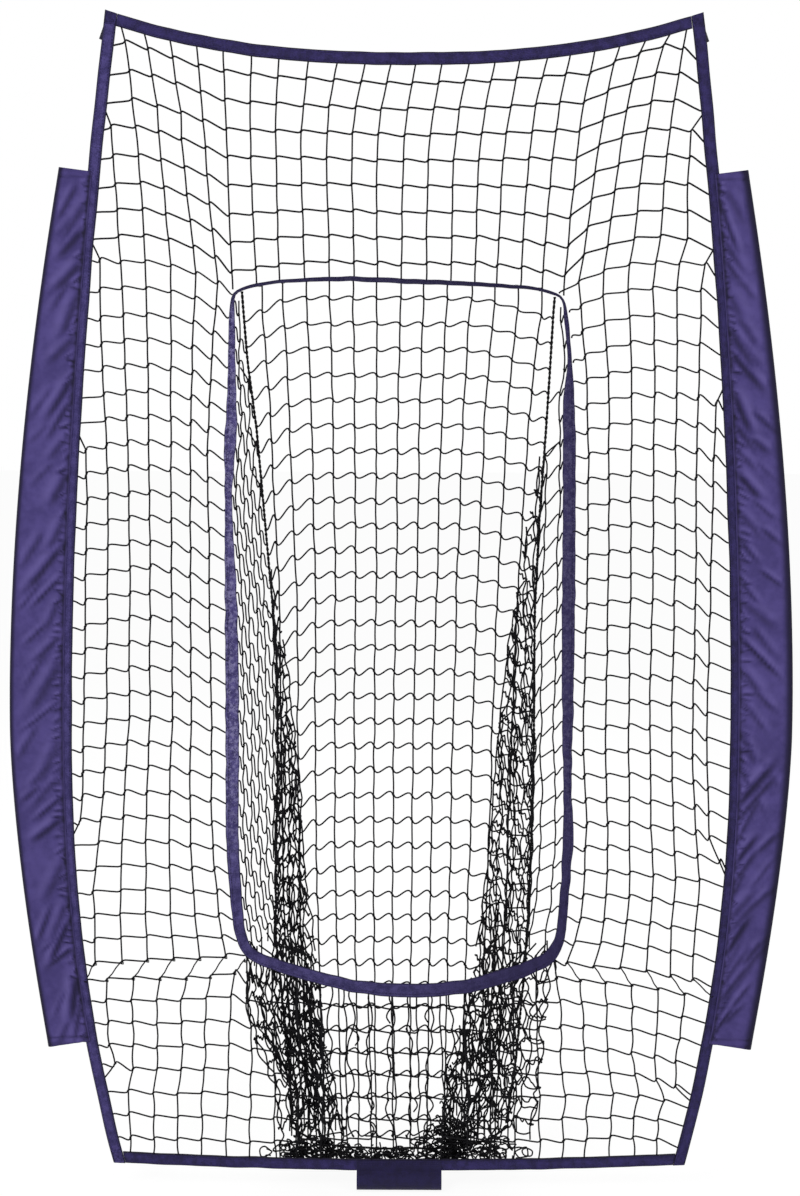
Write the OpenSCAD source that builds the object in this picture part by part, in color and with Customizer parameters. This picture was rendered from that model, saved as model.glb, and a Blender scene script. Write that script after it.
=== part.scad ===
// Pitching target net: a replacement net that is stretched on two bow poles and a base bar.
// Webbing bands run round a knotted front net, fabric sleeves take the poles, and a catch bag hangs
// behind a taped mouth. Origin: centre of the base bar that the foot strap wraps. +Z is up and the
// bag hangs towards +Y. The net is built as it is when stretched: millimetres throughout.

/* [Outline] */
// Height of the top corners above the base bar's centre
corner_h = 2135; // [1800:5:2400]
// Height at which the side bands are furthest apart
belly_h = 780; // [600:10:1000]
// Width over the top corners
top_w = 1040; // [960:4:1120]
// Width over the side bands where they are furthest apart
belly_w = 1244; // [1180:4:1320]
// Width over the bottom corners
bottom_w = 1070; // [1000:4:1150]
// How far the top band dips between its corners
top_dip = 70; // [30:2:110]
// How far the bottom band dips between its corners
bottom_dip = 14; // [4:1:24]
// Height of the bottom band's lowest edge above the base bar's centre
foot_h = 19; // [18:1:30]

/* [Webbing] */
// Width of the folded webbing bands
band_w = 22; // [18:1:30]
// Thickness of one layer of webbing
web_t = 1; // [0.8:0.1:1.6]
// Width of the fold along a band's outer edge
fold_w = 2; // [1.5:0.5:3]

/* [Netting] */
// Pitch of the netting's cells
cell = 45.5; // [38:0.5:55]
// Width of a strand
twine = 2.6; // [2:0.2:4]
// Clearance between crossing strands
cross_gap = 0.2; // [0.1:0.05:0.4]

/* [Mouth] */
// Width of the mouth between the middles of its side tapes
mouth_w = 614; // [520:2:680]
// Height of the mouth's top above the base bar
mouth_top = 1668; // [1500:4:1740]
// Height of the mouth's bottom above the base bar
mouth_bottom = 372; // [330:4:420]
// How far the mouth's top edge arches
mouth_crown = 12; // [4:1:24]
// How far the mouth's bottom edge sags
mouth_sag = 64; // [20:2:70]
// Squareness of the mouth's corners
mouth_square = 22; // [12:1:28]
// Width of the tape round the mouth
rim_w = 17; // [14:1:22]

/* [Join] */
// Height of the front net's lowest row
join_h = 428; // [420:1:450]
// Height of the lacing between the front net and the lower net
lacing_h = 37; // [28:1:45]

/* [Bag] */
// Distance of the bag's hem behind the net
bag_depth = 150; // [110:5:200]
// Height of the bag's hem above the base bar
hem_h = 48; // [45:1:90]
// Width of the bag's back panel at its head
bag_head_w = 568; // [500:4:580]
// Width of the bag's back panel at its hem
bag_hem_w = 420; // [380:5:480]
// Diameter of the bag's cords
cord_d = 5; // [4:0.5:7]

/* [Sleeves] */
// Height of a sleeve's upper end
sleeve_top = 1862; // [1700:4:1900]
// Height of a sleeve's lower end
sleeve_bottom = 265; // [200:5:350]
// Width over both sleeves where they are widest
sleeve_belly_w = 1424; // [1390:4:1500]
// Width over both sleeves at their upper ends
sleeve_top_w = 1210; // [1170:4:1240]
// Width over both sleeves at their lower ends
sleeve_bottom_w = 1306; // [1270:4:1340]
// Height at which the sleeves are widest
sleeve_belly_h = 850; // [700:10:1000]
// Radius of the pole's channel along a sleeve's outer edge
channel_r = 7.2; // [6.8:0.1:9]
// Thickness of the sleeve fabric
fabric_t = 0.8; // [0.6:0.1:1.2]

/* [Foot strap] */
// Radius of the base bar that the strap wraps
bar_r = 16; // [12:0.5:17]
// Length of the strap along the base bar
strap_l = 160; // [100:5:220]
// Thickness of the strap
strap_t = 1.8; // [1.4:0.1:2.4]
// Thickness of a hook or loop strip
strip_t = 1; // [0.8:0.1:1.5]
// Height of the strap's tails up the bottom band
tail_h = 20; // [14:1:22]

/* [Corner fittings] */
// Radius of the pocket that takes a pole's tip
cup_r = 7; // [6:0.5:9]
// Depth of a pole pocket
cup_l = 45; // [30:5:60]
// Lean of a pole pocket from upright
cup_lean = 20; // [10:1:28]
// Wall of the pockets and loops
cup_wall = 1.5; // [1.2:0.1:2.5]
// Radius of the hole through a corner loop
loop_r = 8; // [6:0.5:10]
// Length of a corner loop
loop_l = 25; // [15:1:40]
// Distance of a corner loop's middle from the bottom corner
loop_in = 42; // [30:2:60]

/* [Hidden] */

webbing_colour = "#3D3272";
sleeve_colour = "#50467F";
twine_colour = "#151418";

seat = 0.3;                             // gap between pieces that lie on each other
curve_seat = 0.7;                       // the same where both pieces are chords of one curve
side_steps = 28;                        // straight pieces along a curved side
top_bow = 1.8;                          // powers of the side bands' curves above and below the belly
bottom_bow = 2.1;
dip_bow = 2.4;                          // power of the top band's dip
sleeve_top_bow = 1.8;                   // powers of the sleeves' curves above and below their belly
sleeve_bottom_bow = 1.6;

layer_t = twine / 2;                    // strands lie in two layers, each half a twine deep
slot_t = 2 * layer_t + cross_gap + 0.4; // slot of a folded band, with the net's edge inside
band_t = slot_t + 2 * web_t;
grip = fold_w + 1;                      // strands stop this far from a band's folded edge
bottom_h = foot_h + bottom_dip;         // height of the bottom corners' lower edge

// ---- outline of the stretched net ----

// Half width over the side bands at height z
function band_half(z) = z >= belly_h
  ? belly_w/2 - (belly_w - top_w)/2 * pow(min(z - belly_h, corner_h - belly_h) / (corner_h - belly_h), top_bow)
  : belly_w/2 - (belly_w - bottom_w)/2 * pow(min(belly_h - z, belly_h - bottom_h) / (belly_h - bottom_h), bottom_bow);

// Upper edge of the top band and lower edge of the bottom band at x
function top_edge(x) = corner_h - top_dip * (1 - pow(min(abs(x) / (top_w/2), 1), dip_bow));
function bottom_edge(x) = foot_h + bottom_dip * pow(abs(x) / (bottom_w/2), 2);

// Highest and lowest place at which a side band's inside still reaches out to x
function side_high(x) = let (room = (belly_w/2 - grip - x) / ((belly_w - top_w)/2))
  room >= 1 ? corner_h : belly_h + (corner_h - belly_h) * pow(max(room, 0), 1/top_bow);
function side_low(x) = let (room = (belly_w/2 - grip - x) / ((belly_w - bottom_w)/2))
  room >= 1 ? bottom_h : belly_h - (belly_h - bottom_h) * pow(max(room, 0), 1/bottom_bow);

// Distance from the middle at which the top band's inside is as high as z
function top_reach(z) = let (share = 1 - (corner_h - z - grip) / top_dip)
  share <= 0 ? 0 : top_w/2 * pow(min(share, 1), 1/dip_bow);

// ---- mouth ----

mouth_a = mouth_w / 2;
mouth_b = (mouth_top - mouth_crown - mouth_bottom - mouth_sag) / 2;
mouth_mid = mouth_bottom + mouth_sag + mouth_b;
rim_spread = 0.6;                       // spreads the rim's points between its corners and its long sides

// Height of the rim's middle line at x, on its upper (side 1) or lower (side -1) half
function rim_z(x, side) = let (u = min(abs(x) / mouth_a, 1))
  mouth_mid + side * (mouth_b * pow(1 - pow(u, mouth_square), 1/mouth_square)
                      + (side > 0 ? mouth_crown : mouth_sag) * (1 - u*u));

// Half width of the rim's middle line at height z, found by halving
function rim_half(z, lo = 0, hi = mouth_a, n = 24) =
  let (side = z > mouth_mid ? 1 : -1, mid = (lo + hi) / 2)
  n == 0 ? mid
  : side * (rim_z(mid, side) - z) > 0 ? rim_half(z, mid, hi, n - 1) : rim_half(z, lo, mid, n - 1);

// The rim's middle line as a closed curve, and that curve moved outwards
function rim_point(t) = let (x = mouth_a * sign(cos(t)) * pow(abs(cos(t)), rim_spread))
  [x, rim_z(x, sin(t) >= 0 ? 1 : -1)];
function rim_moved(t, out) = let (d = rim_point(t + 1) - rim_point(t - 1))
  rim_point(t) + out * [d[1], -d[0]] / norm(d);
function rim_outline(out) = [for (k = [0:71]) rim_moved(5*k + 2.5, out)];

// ---- bands ----

module upright(t) {
  // Extrudes an outline drawn in X and Z, with its thickness centred on the net's plane
  rotate([90, 0, 0]) linear_extrude(t, center = true) children();
}

// Outline of a stretch of the right side band from z0 to z1, between two distances from its outer edge
function side_strip(z0, z1, outer, inner) =
  let (zs = [for (k = [0:side_steps]) z0 + (z1 - z0) * k/side_steps])
  concat([for (z = zs) [band_half(z) - outer, z]],
         [for (k = [side_steps:-1:0]) [band_half(zs[k]) - inner, zs[k]]]);

module side_band() {
  color(webbing_colour)
  difference() {
    upright(band_t) polygon(side_strip(bottom_h, corner_h, 0, band_w));
    upright(slot_t) polygon(side_strip(bottom_h - 1, corner_h + 1, fold_w, band_w + 1));
  }
}

// Outline between the lower edge of a band that follows edge heights and its upper edge
function cross_strip(half_hi, half_lo, hi, lo) =
  concat([for (k = [-side_steps/2:side_steps/2]) let (x = 2*k/side_steps * half_hi) [x, hi(x)]],
         [for (k = [side_steps/2:-1:-side_steps/2]) let (x = 2*k/side_steps * half_lo) [x, lo(x)]]);

module top_band() {
  half_hi = band_half(corner_h) - band_w - curve_seat;
  half_lo = band_half(corner_h - band_w) - band_w - curve_seat;
  color(webbing_colour)
  difference() {
    upright(band_t)
      polygon(cross_strip(half_hi, half_lo, function (x) top_edge(x), function (x) top_edge(x) - band_w));
    upright(slot_t)
      polygon(cross_strip(half_hi + 3, half_lo + 3, function (x) top_edge(x) - fold_w,
                          function (x) top_edge(x) - band_w - 1));
  }
}

module bottom_band() {
  half_lo = band_half(bottom_h) - band_w - curve_seat;
  half_hi = band_half(bottom_h + band_w) - band_w - curve_seat;
  color(webbing_colour)
  difference() {
    upright(band_t)
      polygon(cross_strip(half_hi, half_lo, function (x) bottom_edge(x) + band_w, function (x) bottom_edge(x)));
    upright(slot_t)
      polygon(cross_strip(half_hi + 3, half_lo + 3, function (x) bottom_edge(x) + band_w + 1,
                          function (x) bottom_edge(x) + fold_w));
  }
}

module left_band() mirror([1, 0, 0]) side_band();
module right_band() side_band();

// A square of webbing sewn over the front of a corner
patch_t = 0.8;
module corner_patch(z0, z1) {
  color(webbing_colour)
  translate([0, -(band_t + patch_t)/2 - 0.1, 0])
    upright(patch_t) polygon(side_strip(z0, z1, 1, band_w - 1));
}
module top_right_patch() corner_patch(corner_h - band_w - 2, corner_h - 1);
module top_left_patch() mirror([1, 0, 0]) top_right_patch();
module bottom_right_patch() corner_patch(bottom_h + 1, bottom_h + band_w + 2);
module bottom_left_patch() mirror([1, 0, 0]) bottom_right_patch();

// ---- corner fittings ----

module right_pole_cup() {
  outer_r = cup_r + cup_wall;
  color(webbing_colour)
  translate([band_half(corner_h) - band_w/2, band_t/2 + seat + outer_r, corner_h - outer_r])
  rotate([0, -cup_lean, 0])
  mirror([0, 0, 1])
  difference() {
    cylinder(h = cup_l + cup_wall, r = outer_r, $fn = 48);
    translate([0, 0, cup_wall]) cylinder(h = cup_l + 1, r = cup_r, $fn = 48);
  }
}
module left_pole_cup() mirror([1, 0, 0]) right_pole_cup();

module right_corner_loop() {
  outer_r = loop_r + cup_wall;
  color(webbing_colour)
  translate([bottom_w/2 - loop_in, band_t/2 + seat + outer_r, bottom_h + band_w/2])
  rotate([0, 90, 0])
  difference() {
    cylinder(h = loop_l, r = outer_r, center = true, $fn = 48);
    cylinder(h = loop_l + 2, r = loop_r, center = true, $fn = 48);
  }
}
module left_corner_loop() mirror([1, 0, 0]) right_corner_loop();

// ---- netting ----

columns = floor((belly_w/2 - grip) / cell);       // columns of strands to each side of the middle

// An upright strand in the front layer and a level strand in the rear layer
module upright_strand(x, z0, z1) {
  if (z1 - z0 > twine)
    translate([x - twine/2, -cross_gap/2 - layer_t, z0]) cube([twine, layer_t, z1 - z0]);
}
module level_strand(x0, x1, z) {
  if (x1 - x0 > twine)
    translate([x0, cross_gap/2, z - twine/2]) cube([x1 - x0, layer_t, twine]);
}

// Ends of an upright strand at x, inside the top and bottom bands or a side band
function column_high(x) = min(top_edge(x) - grip, side_high(abs(x) + twine/2));
function column_low(x) = max(bottom_edge(x) + grip, side_low(abs(x) + twine/2));

front_rows = floor((corner_h - band_w - 8 - join_h) / cell);
lower_h = join_h - lacing_h;                      // height of the lower net's top row
lower_rows = floor((lower_h - bottom_h - band_w - 4) / cell);

module front_net() {
  color(twine_colour) {
    for (i = [-columns:columns]) {
      x = i * cell;
      if (abs(x) < mouth_a - twine) {
        upright_strand(x, rim_z(x, 1), column_high(x));
        if (rim_z(x, -1) > join_h) upright_strand(x, join_h, rim_z(x, -1));
      }
      else upright_strand(x, join_h - twine/2, column_high(x));
    }
    for (j = [0:front_rows]) {
      z = join_h + j * cell;
      reach = band_half(z) - grip;
      start = max(top_reach(z + twine/2), z > rim_z(0, 1) ? 0 : rim_half(z));
      if (start == 0) level_strand(-reach, reach, z);
      else {
        level_strand(start, reach, z);
        level_strand(-reach, -start, z);
      }
    }
  }
}

module lower_net() {
  color(twine_colour) {
    for (i = [-columns:columns]) {
      x = i * cell;
      in_mouth = abs(x) < mouth_a - twine && rim_z(x, -1) < lower_h;
      upright_strand(x, column_low(x), in_mouth ? rim_z(x, -1) : lower_h + twine/2);
    }
    for (j = [0:lower_rows]) {
      z = lower_h - j * cell;
      reach = band_half(z) - grip;
      if (z > rim_z(0, -1)) {
        level_strand(rim_half(z), reach, z);
        level_strand(-reach, -rim_half(z), z);
      }
      else level_strand(-reach, reach, z);
    }
  }
}

// Slanting turns of the cord that laces the two nets, behind both of them
module join_lacing() {
  slant = cell / 2;
  first = ceil((rim_half(join_h) + rim_w) / cell);
  last = floor((band_half(lower_h) - band_w - slant - twine) / cell);
  color(twine_colour)
  for (s = [-1, 1]) for (i = [first:last])
    translate([s * i * cell, 1.5 * cross_gap + layer_t, join_h + twine/2])
    rotate([0, s * (180 - atan(slant / lacing_h)), 0])
    translate([-twine/2, 0, 0])
      cube([twine, layer_t, norm([slant, lacing_h]) + twine]);
}

module mouth_rim() {
  color(webbing_colour)
  difference() {
    upright(band_t) difference() {
      polygon(rim_outline(rim_w/2));
      polygon(rim_outline(-rim_w/2));
    }
    upright(slot_t) difference() {
      polygon(rim_outline(rim_w/2 + 1));
      polygon(rim_outline(fold_w - rim_w/2));
    }
  }
}

// ---- sleeves ----

function sleeve_half(z) = z >= sleeve_belly_h
  ? (sleeve_belly_w - (sleeve_belly_w - sleeve_top_w)
     * pow((z - sleeve_belly_h) / (sleeve_top - sleeve_belly_h), sleeve_top_bow)) / 2
  : (sleeve_belly_w - (sleeve_belly_w - sleeve_bottom_w)
     * pow((sleeve_belly_h - z) / (sleeve_belly_h - sleeve_bottom), sleeve_bottom_bow)) / 2;

// Half thickness of a sleeve a share u of the way from its seam to the pole's channel
nose_r = channel_r + fabric_t;
function sleeve_thick(u) = 1 + (nose_r - 1) * pow(u, 1.5);

// A closed section of a sleeve at height z: the outside, or the inside when skin is the fabric's thickness
function sleeve_section(z, skin) =
  let (seam = band_half(z) + curve_seat,
       centre = sleeve_half(z) - nose_r,
       shares = skin == 0 ? [0, 0.25, 0.5, 0.75, 1] : [0.15, 0.35, 0.55, 0.78, 1])
  concat([for (u = shares) [seam + u * (centre - seam), skin - sleeve_thick(u), z]],
         [for (a = [-60:30:60]) [centre + (nose_r - skin) * cos(a), (nose_r - skin) * sin(a), z]],
         [for (k = [4:-1:0]) let (u = shares[k]) [seam + u * (centre - seam), sleeve_thick(u) - skin, z]]);

sleeve_steps = 18;
section_n = 15;
function sleeve_rings(skin) = [for (j = [0:sleeve_steps])
  each sleeve_section(sleeve_bottom + (sleeve_top - sleeve_bottom) * j/sleeve_steps, skin)];

module sleeve() {
  inside = (sleeve_steps + 1) * section_n;      // index of the inner skin's first point
  last = sleeve_steps * section_n;              // index of the top ring's first point
  color(sleeve_colour)
  polyhedron(
    points = concat(sleeve_rings(0), sleeve_rings(fabric_t)),
    faces = concat(
      [for (j = [0:sleeve_steps-1]) for (k = [0:section_n-1])
        let (a = j*section_n + k, b = j*section_n + (k + 1) % section_n)
        [a, a + section_n, b + section_n, b]],
      [for (j = [0:sleeve_steps-1]) for (k = [0:section_n-1])
        let (a = inside + j*section_n + k, b = inside + j*section_n + (k + 1) % section_n)
        [a, b, b + section_n, a + section_n]],
      [for (k = [0:section_n-1]) let (b = (k + 1) % section_n) [k, b, inside + b, inside + k]],
      [for (k = [0:section_n-1]) let (a = last + k, b = last + (k + 1) % section_n)
        [a, inside + a, inside + b, b]]));
}
module right_sleeve() sleeve();
module left_sleeve() mirror([1, 0, 0]) sleeve();

// ---- foot strap ----

strap_r = bar_r + strap_t/2;                       // radius of the strap's middle round the bar
front_y = band_t/2 + 0.1 + strap_t/2;              // distance of the front tail from the net's plane
flap_y = band_t/2 + 2*strip_t + 0.3 + strap_t/2;   // distance of the rear tail from the net's plane
end_gap = asin((strap_t/2 + seat) / strap_r);      // angle that keeps the strap's end off the flap's fold

module along_bar(l) {
  // Extrudes an outline drawn in Y and Z along the base bar
  rotate([90, 0, 90]) linear_extrude(l, center = true) children();
}

// One half of the strap: an arc round the bar, a straight run up to the band, and a tail on the band
module strap_half(y, start) {
  reach = norm([y, foot_h]);
  leave = atan2(foot_h, y) - acos(strap_r / reach);
  run = sqrt(reach*reach - strap_r*strap_r);
  intersection() {
    rotate([0, 90, 0]) difference() {
      cylinder(h = strap_l, r = bar_r + strap_t, center = true, $fn = 96);
      cylinder(h = strap_l + 2, r = bar_r, center = true, $fn = 96);
    }
    along_bar(strap_l + 1)
      polygon(concat([[0, 0]], [for (k = [0:8]) let (a = start + (leave - start) * k/8)
                                3 * bar_r * [cos(a), sin(a)]]));
  }
  along_bar(strap_l)
    translate(strap_r * [cos(leave), sin(leave)]) rotate(leave)
      translate([-strap_t/2, -0.5]) square([strap_t, run + 0.5]);
  along_bar(strap_l)
    translate([y - strap_t/2, foot_h - 0.4]) square([strap_t, tail_h + 0.4]);
}

module foot_strap() {
  color(webbing_colour) mirror([0, 1, 0]) strap_half(front_y, -90 + end_gap);
}

module strap_flap() {
  color(webbing_colour) {
    strap_half(flap_y, -90);
    translate([0, 0, -strap_r]) rotate([0, 90, 0])
      cylinder(h = strap_l, r = strap_t/2 - 0.1, center = true, $fn = 32);
  }
}

strip_inset = 6;
module strip(y) {
  along_bar(strap_l - 2*strip_inset)
    translate([y, foot_h + bottom_dip/10 + 2]) square([strip_t, tail_h - 4]);
}
module loop_strip() color(twine_colour) strip(band_t/2 + 0.1);
module hook_strip() color(twine_colour) strip(band_t/2 + strip_t + 0.2);

// ---- catch bag ----

cord_r = cord_d / 2;
bag_y = band_t/2 + seat + cord_r;                  // the head cord lies on the back of the rim
head_h = mouth_top - mouth_crown/2;
bag_lean = atan((bag_depth - bag_y) / (head_h - hem_h));
bag_l = norm([bag_depth - bag_y, head_h - hem_h]);

// Half width of the back panel a distance s below its head
function seam_half(s) = (bag_head_w - (bag_head_w - bag_hem_w) * s / bag_l) / 2;

// A point of the back panel's seam, s below its head
function seam_point(s) = [seam_half(s), bag_y + s * sin(bag_lean), head_h - s * cos(bag_lean)];

// Places its children in the back panel's own plane: z is minus the distance below the head
module on_back() {
  translate([0, bag_y, head_h]) rotate([bag_lean, 0, 0]) children();
}

module rod(p, q, r) {
  // A straight cord from p to q
  d = q - p;
  translate(p) rotate([0, acos(d[2] / norm(d)), atan2(d[1], d[0])]) cylinder(h = norm(d), r = r, $fn = 24);
}

module bag_head_cord() {
  color(twine_colour) translate([0, bag_y, head_h]) rotate([0, 90, 0])
    cylinder(h = bag_head_w + cord_d, r = cord_r, center = true, $fn = 32);
}

module bag_hem_cord() {
  color(twine_colour) on_back() translate([0, 0, -bag_l]) rotate([0, 90, 0])
    cylinder(h = bag_hem_w + cord_d, r = cord_r, center = true, $fn = 32);
}

module right_seam_cord() {
  color(twine_colour) rod(seam_point(cord_r + seat), seam_point(bag_l - cord_r - seat), cord_r);
}
module left_seam_cord() mirror([1, 0, 0]) right_seam_cord();

module bag_back_net() {
  narrow = (bag_head_w - bag_hem_w) / 2 / bag_l;   // how fast each side draws in
  panel_columns = floor((bag_head_w/2 - cord_d) / cell);
  panel_rows = floor((bag_l - cell/2) / cell);
  color(twine_colour) on_back() {
    for (i = [-panel_columns:panel_columns]) {
      x = i * cell;
      low = min(bag_l - cord_r - seat, (bag_head_w/2 - abs(x) - twine/2 - cord_r - seat) / narrow);
      upright_strand(x, -low, -cord_r - seat);
    }
    for (j = [1:panel_rows]) {
      half = seam_half(j * cell + twine/2) - cord_r - seat;
      level_strand(-half, half, -j * cell);
    }
  }
}

// ---- apron and gussets ----

lace_y = band_t/2 + seat;                          // nets laced to the rim start just behind it
apron_top_y = lace_y + layer_t;
apron_end = [bag_depth - cord_r - seat - layer_t, hem_h - 1];   // y and z where the apron lies on the hem cord
apron_top_half = mouth_a - 20;
apron_hem_half = bag_hem_w/2 - 6;

// A point of the apron: v runs from side to side (-1 to 1), u from the rim (0) to the hem (1)
function apron_point(v, u) =
  let (top = [v * apron_top_half, apron_top_y, rim_z(v * apron_top_half, -1)])
  top + u * ([v * apron_hem_half, apron_end[0], apron_end[1]] - top);

module bar(p, q, w, t) {
  // A flat strand from p to q that leans in Y and X, w wide across and t deep
  d = q - p;
  translate(p) rotate([0, 0, atan2(d[1], d[0])]) rotate([0, acos(d[2] / norm(d)), 0])
    translate([-t/2, -w/2, 0]) cube([t, w, norm(d)]);
}

module bag_apron_net() {
  half_columns = floor(apron_hem_half / cell);
  apron_rows = floor((mouth_bottom - hem_h) / cell);
  share = 1 / (apron_rows + 1);
  arc_steps = 16;
  color(twine_colour) {
    for (i = [-half_columns:half_columns]) {
      v = i / half_columns;
      bar(apron_point(v, 0), apron_point(v, 1), layer_t, layer_t);
    }
    for (j = [1:apron_rows]) {
      u = j * share;
      row = [for (k = [-arc_steps/2:arc_steps/2]) apron_point(2*k/arc_steps * 0.99, u)];
      n = len(row);
      translate([0, row[0][1] + layer_t*1.1 + cross_gap + layer_t/2, 0])
        upright(layer_t) polygon(concat([for (p = row) [p[0], p[2] - twine/2]],
                                        [for (k = [n-1:-1:0]) [row[k][0], row[k][2] + twine/2]]));
    }
  }
}

// Front edge of a gusset at height z: up the rim's side, and below the mouth beside the apron's edge
corner_z = apron_point(1, 0)[2];
function gusset_front(z) = z >= corner_z
  ? [mouth_a - 4, lace_y + layer_t/2, z]
  : apron_point(1, (corner_z - z) / (corner_z - apron_end[1])) + [layer_t + 2*seat, 0, 0];
function gusset_back(z) = seam_point((head_h - z) / cos(bag_lean));
function gusset_point(z, u) = let (p = gusset_front(z), q = gusset_back(z)) p + u * (q - p);

module right_gusset_net() {
  shortest_row = 20;                               // rows shorter than this hold no cell
  rows = [for (j = [1:floor((head_h - hem_h - cell/2) / cell)]) let (z = head_h - j * cell)
          if (norm(gusset_back(z) - gusset_front(z)) > shortest_row) z];
  fold_r = layer_t * 0.8;                          // the upright strands lie bunched in folds
  off = (layer_t/2 + fold_r + seat + 0.1) * [0.6, 0.8, 0];     // from the rows' middle to the folds' middle
  color(twine_colour) {
    for (z = rows) {
      p = gusset_front(z);
      q = gusset_back(z);
      translate(p) rotate([0, 0, atan2(q[1] - p[1], q[0] - p[0])])
        translate([0, -layer_t/2, -twine/2]) cube([norm(q - p) - cord_r - seat - 0.1, layer_t, twine]);
    }
    for (u = [0.3, 0.6]) {
      top_z = rows[u < 0.5 ? 4 : 0] + twine;
      rod(gusset_point(top_z, u) + off, gusset_point(corner_z, u) + off, fold_r);
      rod(gusset_point(corner_z - 3, u) + off, gusset_point(rows[len(rows) - 1] - twine, u) + off, fold_r);
    }
  }
}
module left_gusset_net() mirror([1, 0, 0]) right_gusset_net();

top_band();
left_band();
right_band();
bottom_band();
top_left_patch();
top_right_patch();
bottom_left_patch();
bottom_right_patch();
left_pole_cup();
right_pole_cup();
left_corner_loop();
right_corner_loop();
front_net();
join_lacing();
lower_net();
mouth_rim();
left_sleeve();
right_sleeve();
foot_strap();
loop_strip();
strap_flap();
hook_strip();
bag_head_cord();
bag_back_net();
left_seam_cord();
right_seam_cord();
left_gusset_net();
right_gusset_net();
bag_apron_net();
bag_hem_cord();
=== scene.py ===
# %% [markdown]
# # Pitching target net
# The real thing is sewn and knotted, not moulded: folded webbing round the edge, square-meshed twine
# netting, taped mouth, fabric sleeves for two bow poles and a catch bag that hangs behind the mouth.
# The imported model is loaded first. Everything that is soft in it is replaced below, piece by piece,
# and each new piece keeps the place of the solid that it stands for. All sizes are in metres.

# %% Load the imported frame
import math
import random

import bpy
import numpy as np
from mathutils import Matrix, Vector, noise


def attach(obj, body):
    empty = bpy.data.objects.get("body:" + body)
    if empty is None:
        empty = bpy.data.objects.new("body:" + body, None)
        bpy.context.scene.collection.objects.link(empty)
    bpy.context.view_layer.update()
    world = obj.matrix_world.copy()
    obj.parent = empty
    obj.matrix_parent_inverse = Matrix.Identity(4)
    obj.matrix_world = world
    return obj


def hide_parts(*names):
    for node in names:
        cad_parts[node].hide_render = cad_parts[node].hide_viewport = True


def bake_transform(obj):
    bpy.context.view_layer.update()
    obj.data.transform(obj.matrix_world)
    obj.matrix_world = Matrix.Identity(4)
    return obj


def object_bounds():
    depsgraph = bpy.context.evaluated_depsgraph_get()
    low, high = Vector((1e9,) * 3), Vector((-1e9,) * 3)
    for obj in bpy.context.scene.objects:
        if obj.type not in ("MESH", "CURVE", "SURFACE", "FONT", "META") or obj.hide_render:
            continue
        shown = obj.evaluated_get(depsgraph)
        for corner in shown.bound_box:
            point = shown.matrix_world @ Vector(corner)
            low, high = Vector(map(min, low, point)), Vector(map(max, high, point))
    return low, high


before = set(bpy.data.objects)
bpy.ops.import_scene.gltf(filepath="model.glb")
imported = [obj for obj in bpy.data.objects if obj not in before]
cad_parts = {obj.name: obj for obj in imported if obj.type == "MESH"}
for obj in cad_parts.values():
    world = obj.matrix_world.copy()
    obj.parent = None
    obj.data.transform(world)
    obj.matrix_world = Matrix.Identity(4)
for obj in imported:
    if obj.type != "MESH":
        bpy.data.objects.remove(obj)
cad_box = [list(corner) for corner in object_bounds()]
scene = bpy.context.scene
scene.view_settings.view_transform = "Standard"
MM = 0.001

# %% [markdown]
# ## Camera, light and backdrop
# The net is seen from 4 m in front of it and a little above its middle, so the camera looks down by
# about eight degrees. Three large soft lamps and an even sky give plain studio light, in which a cloth
# shows its own colour. The floor and the sky look white to the camera and to reflections only.

# %% Camera
CAMERA_AT = Vector((-0.003, -4.0, 1.6916))
PITCH, ROLL = math.radians(81.64), math.radians(0.25)
camera_data = bpy.data.cameras.new("camera")
camera_data.lens = 67.45
camera_data.sensor_fit = "VERTICAL"
camera_data.sensor_height = 36
camera_data.sensor_width = 36
camera_data.clip_end = 60
camera = bpy.data.objects.new("camera", camera_data)
scene.collection.objects.link(camera)
aimed = Matrix.Rotation(PITCH, 4, "X") @ Matrix.Rotation(ROLL, 4, "Z")
camera.matrix_world = Matrix.Translation(CAMERA_AT) @ aimed
scene.camera = camera
print("camera", tuple(round(v, 3) for v in CAMERA_AT))


# %% Node helpers and backdrop
def new_material(name):
    """An empty node material and its tree."""
    material = bpy.data.materials.new(name)
    material.use_nodes = True
    tree = material.node_tree
    tree.nodes.clear()
    return material, tree


def add_node(tree, kind, **settings):
    """A new node. in_ settings are values of its inputs, by name or by number, the rest its own."""
    node = tree.nodes.new(kind)
    for key, value in settings.items():
        if key.startswith("in_"):
            slot = key[3:]
            node.inputs[int(slot) if slot.isdigit() else slot.replace("_", " ")].default_value = value
        else:
            setattr(node, key, value)
    return node


def math_node(tree, operation, a, b=None, clamp=False):
    """A Math node whose inputs are sockets or plain numbers."""
    node = add_node(tree, "ShaderNodeMath", operation=operation, use_clamp=clamp)
    for index, value in enumerate((a, b)):
        if value is None:
            continue
        if isinstance(value, (int, float)):
            node.inputs[index].default_value = value
        else:
            tree.links.new(value, node.inputs[index])
    return node.outputs[0]


def camera_sees(tree):
    """1 for rays that come from the camera, or by way of a mirror or a clear pane."""
    path = add_node(tree, "ShaderNodeLightPath")
    glossy = math_node(tree, "MAXIMUM", path.outputs["Is Glossy Ray"], path.outputs["Is Transmission Ray"])
    return math_node(tree, "MAXIMUM", path.outputs["Is Camera Ray"], glossy)


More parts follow.
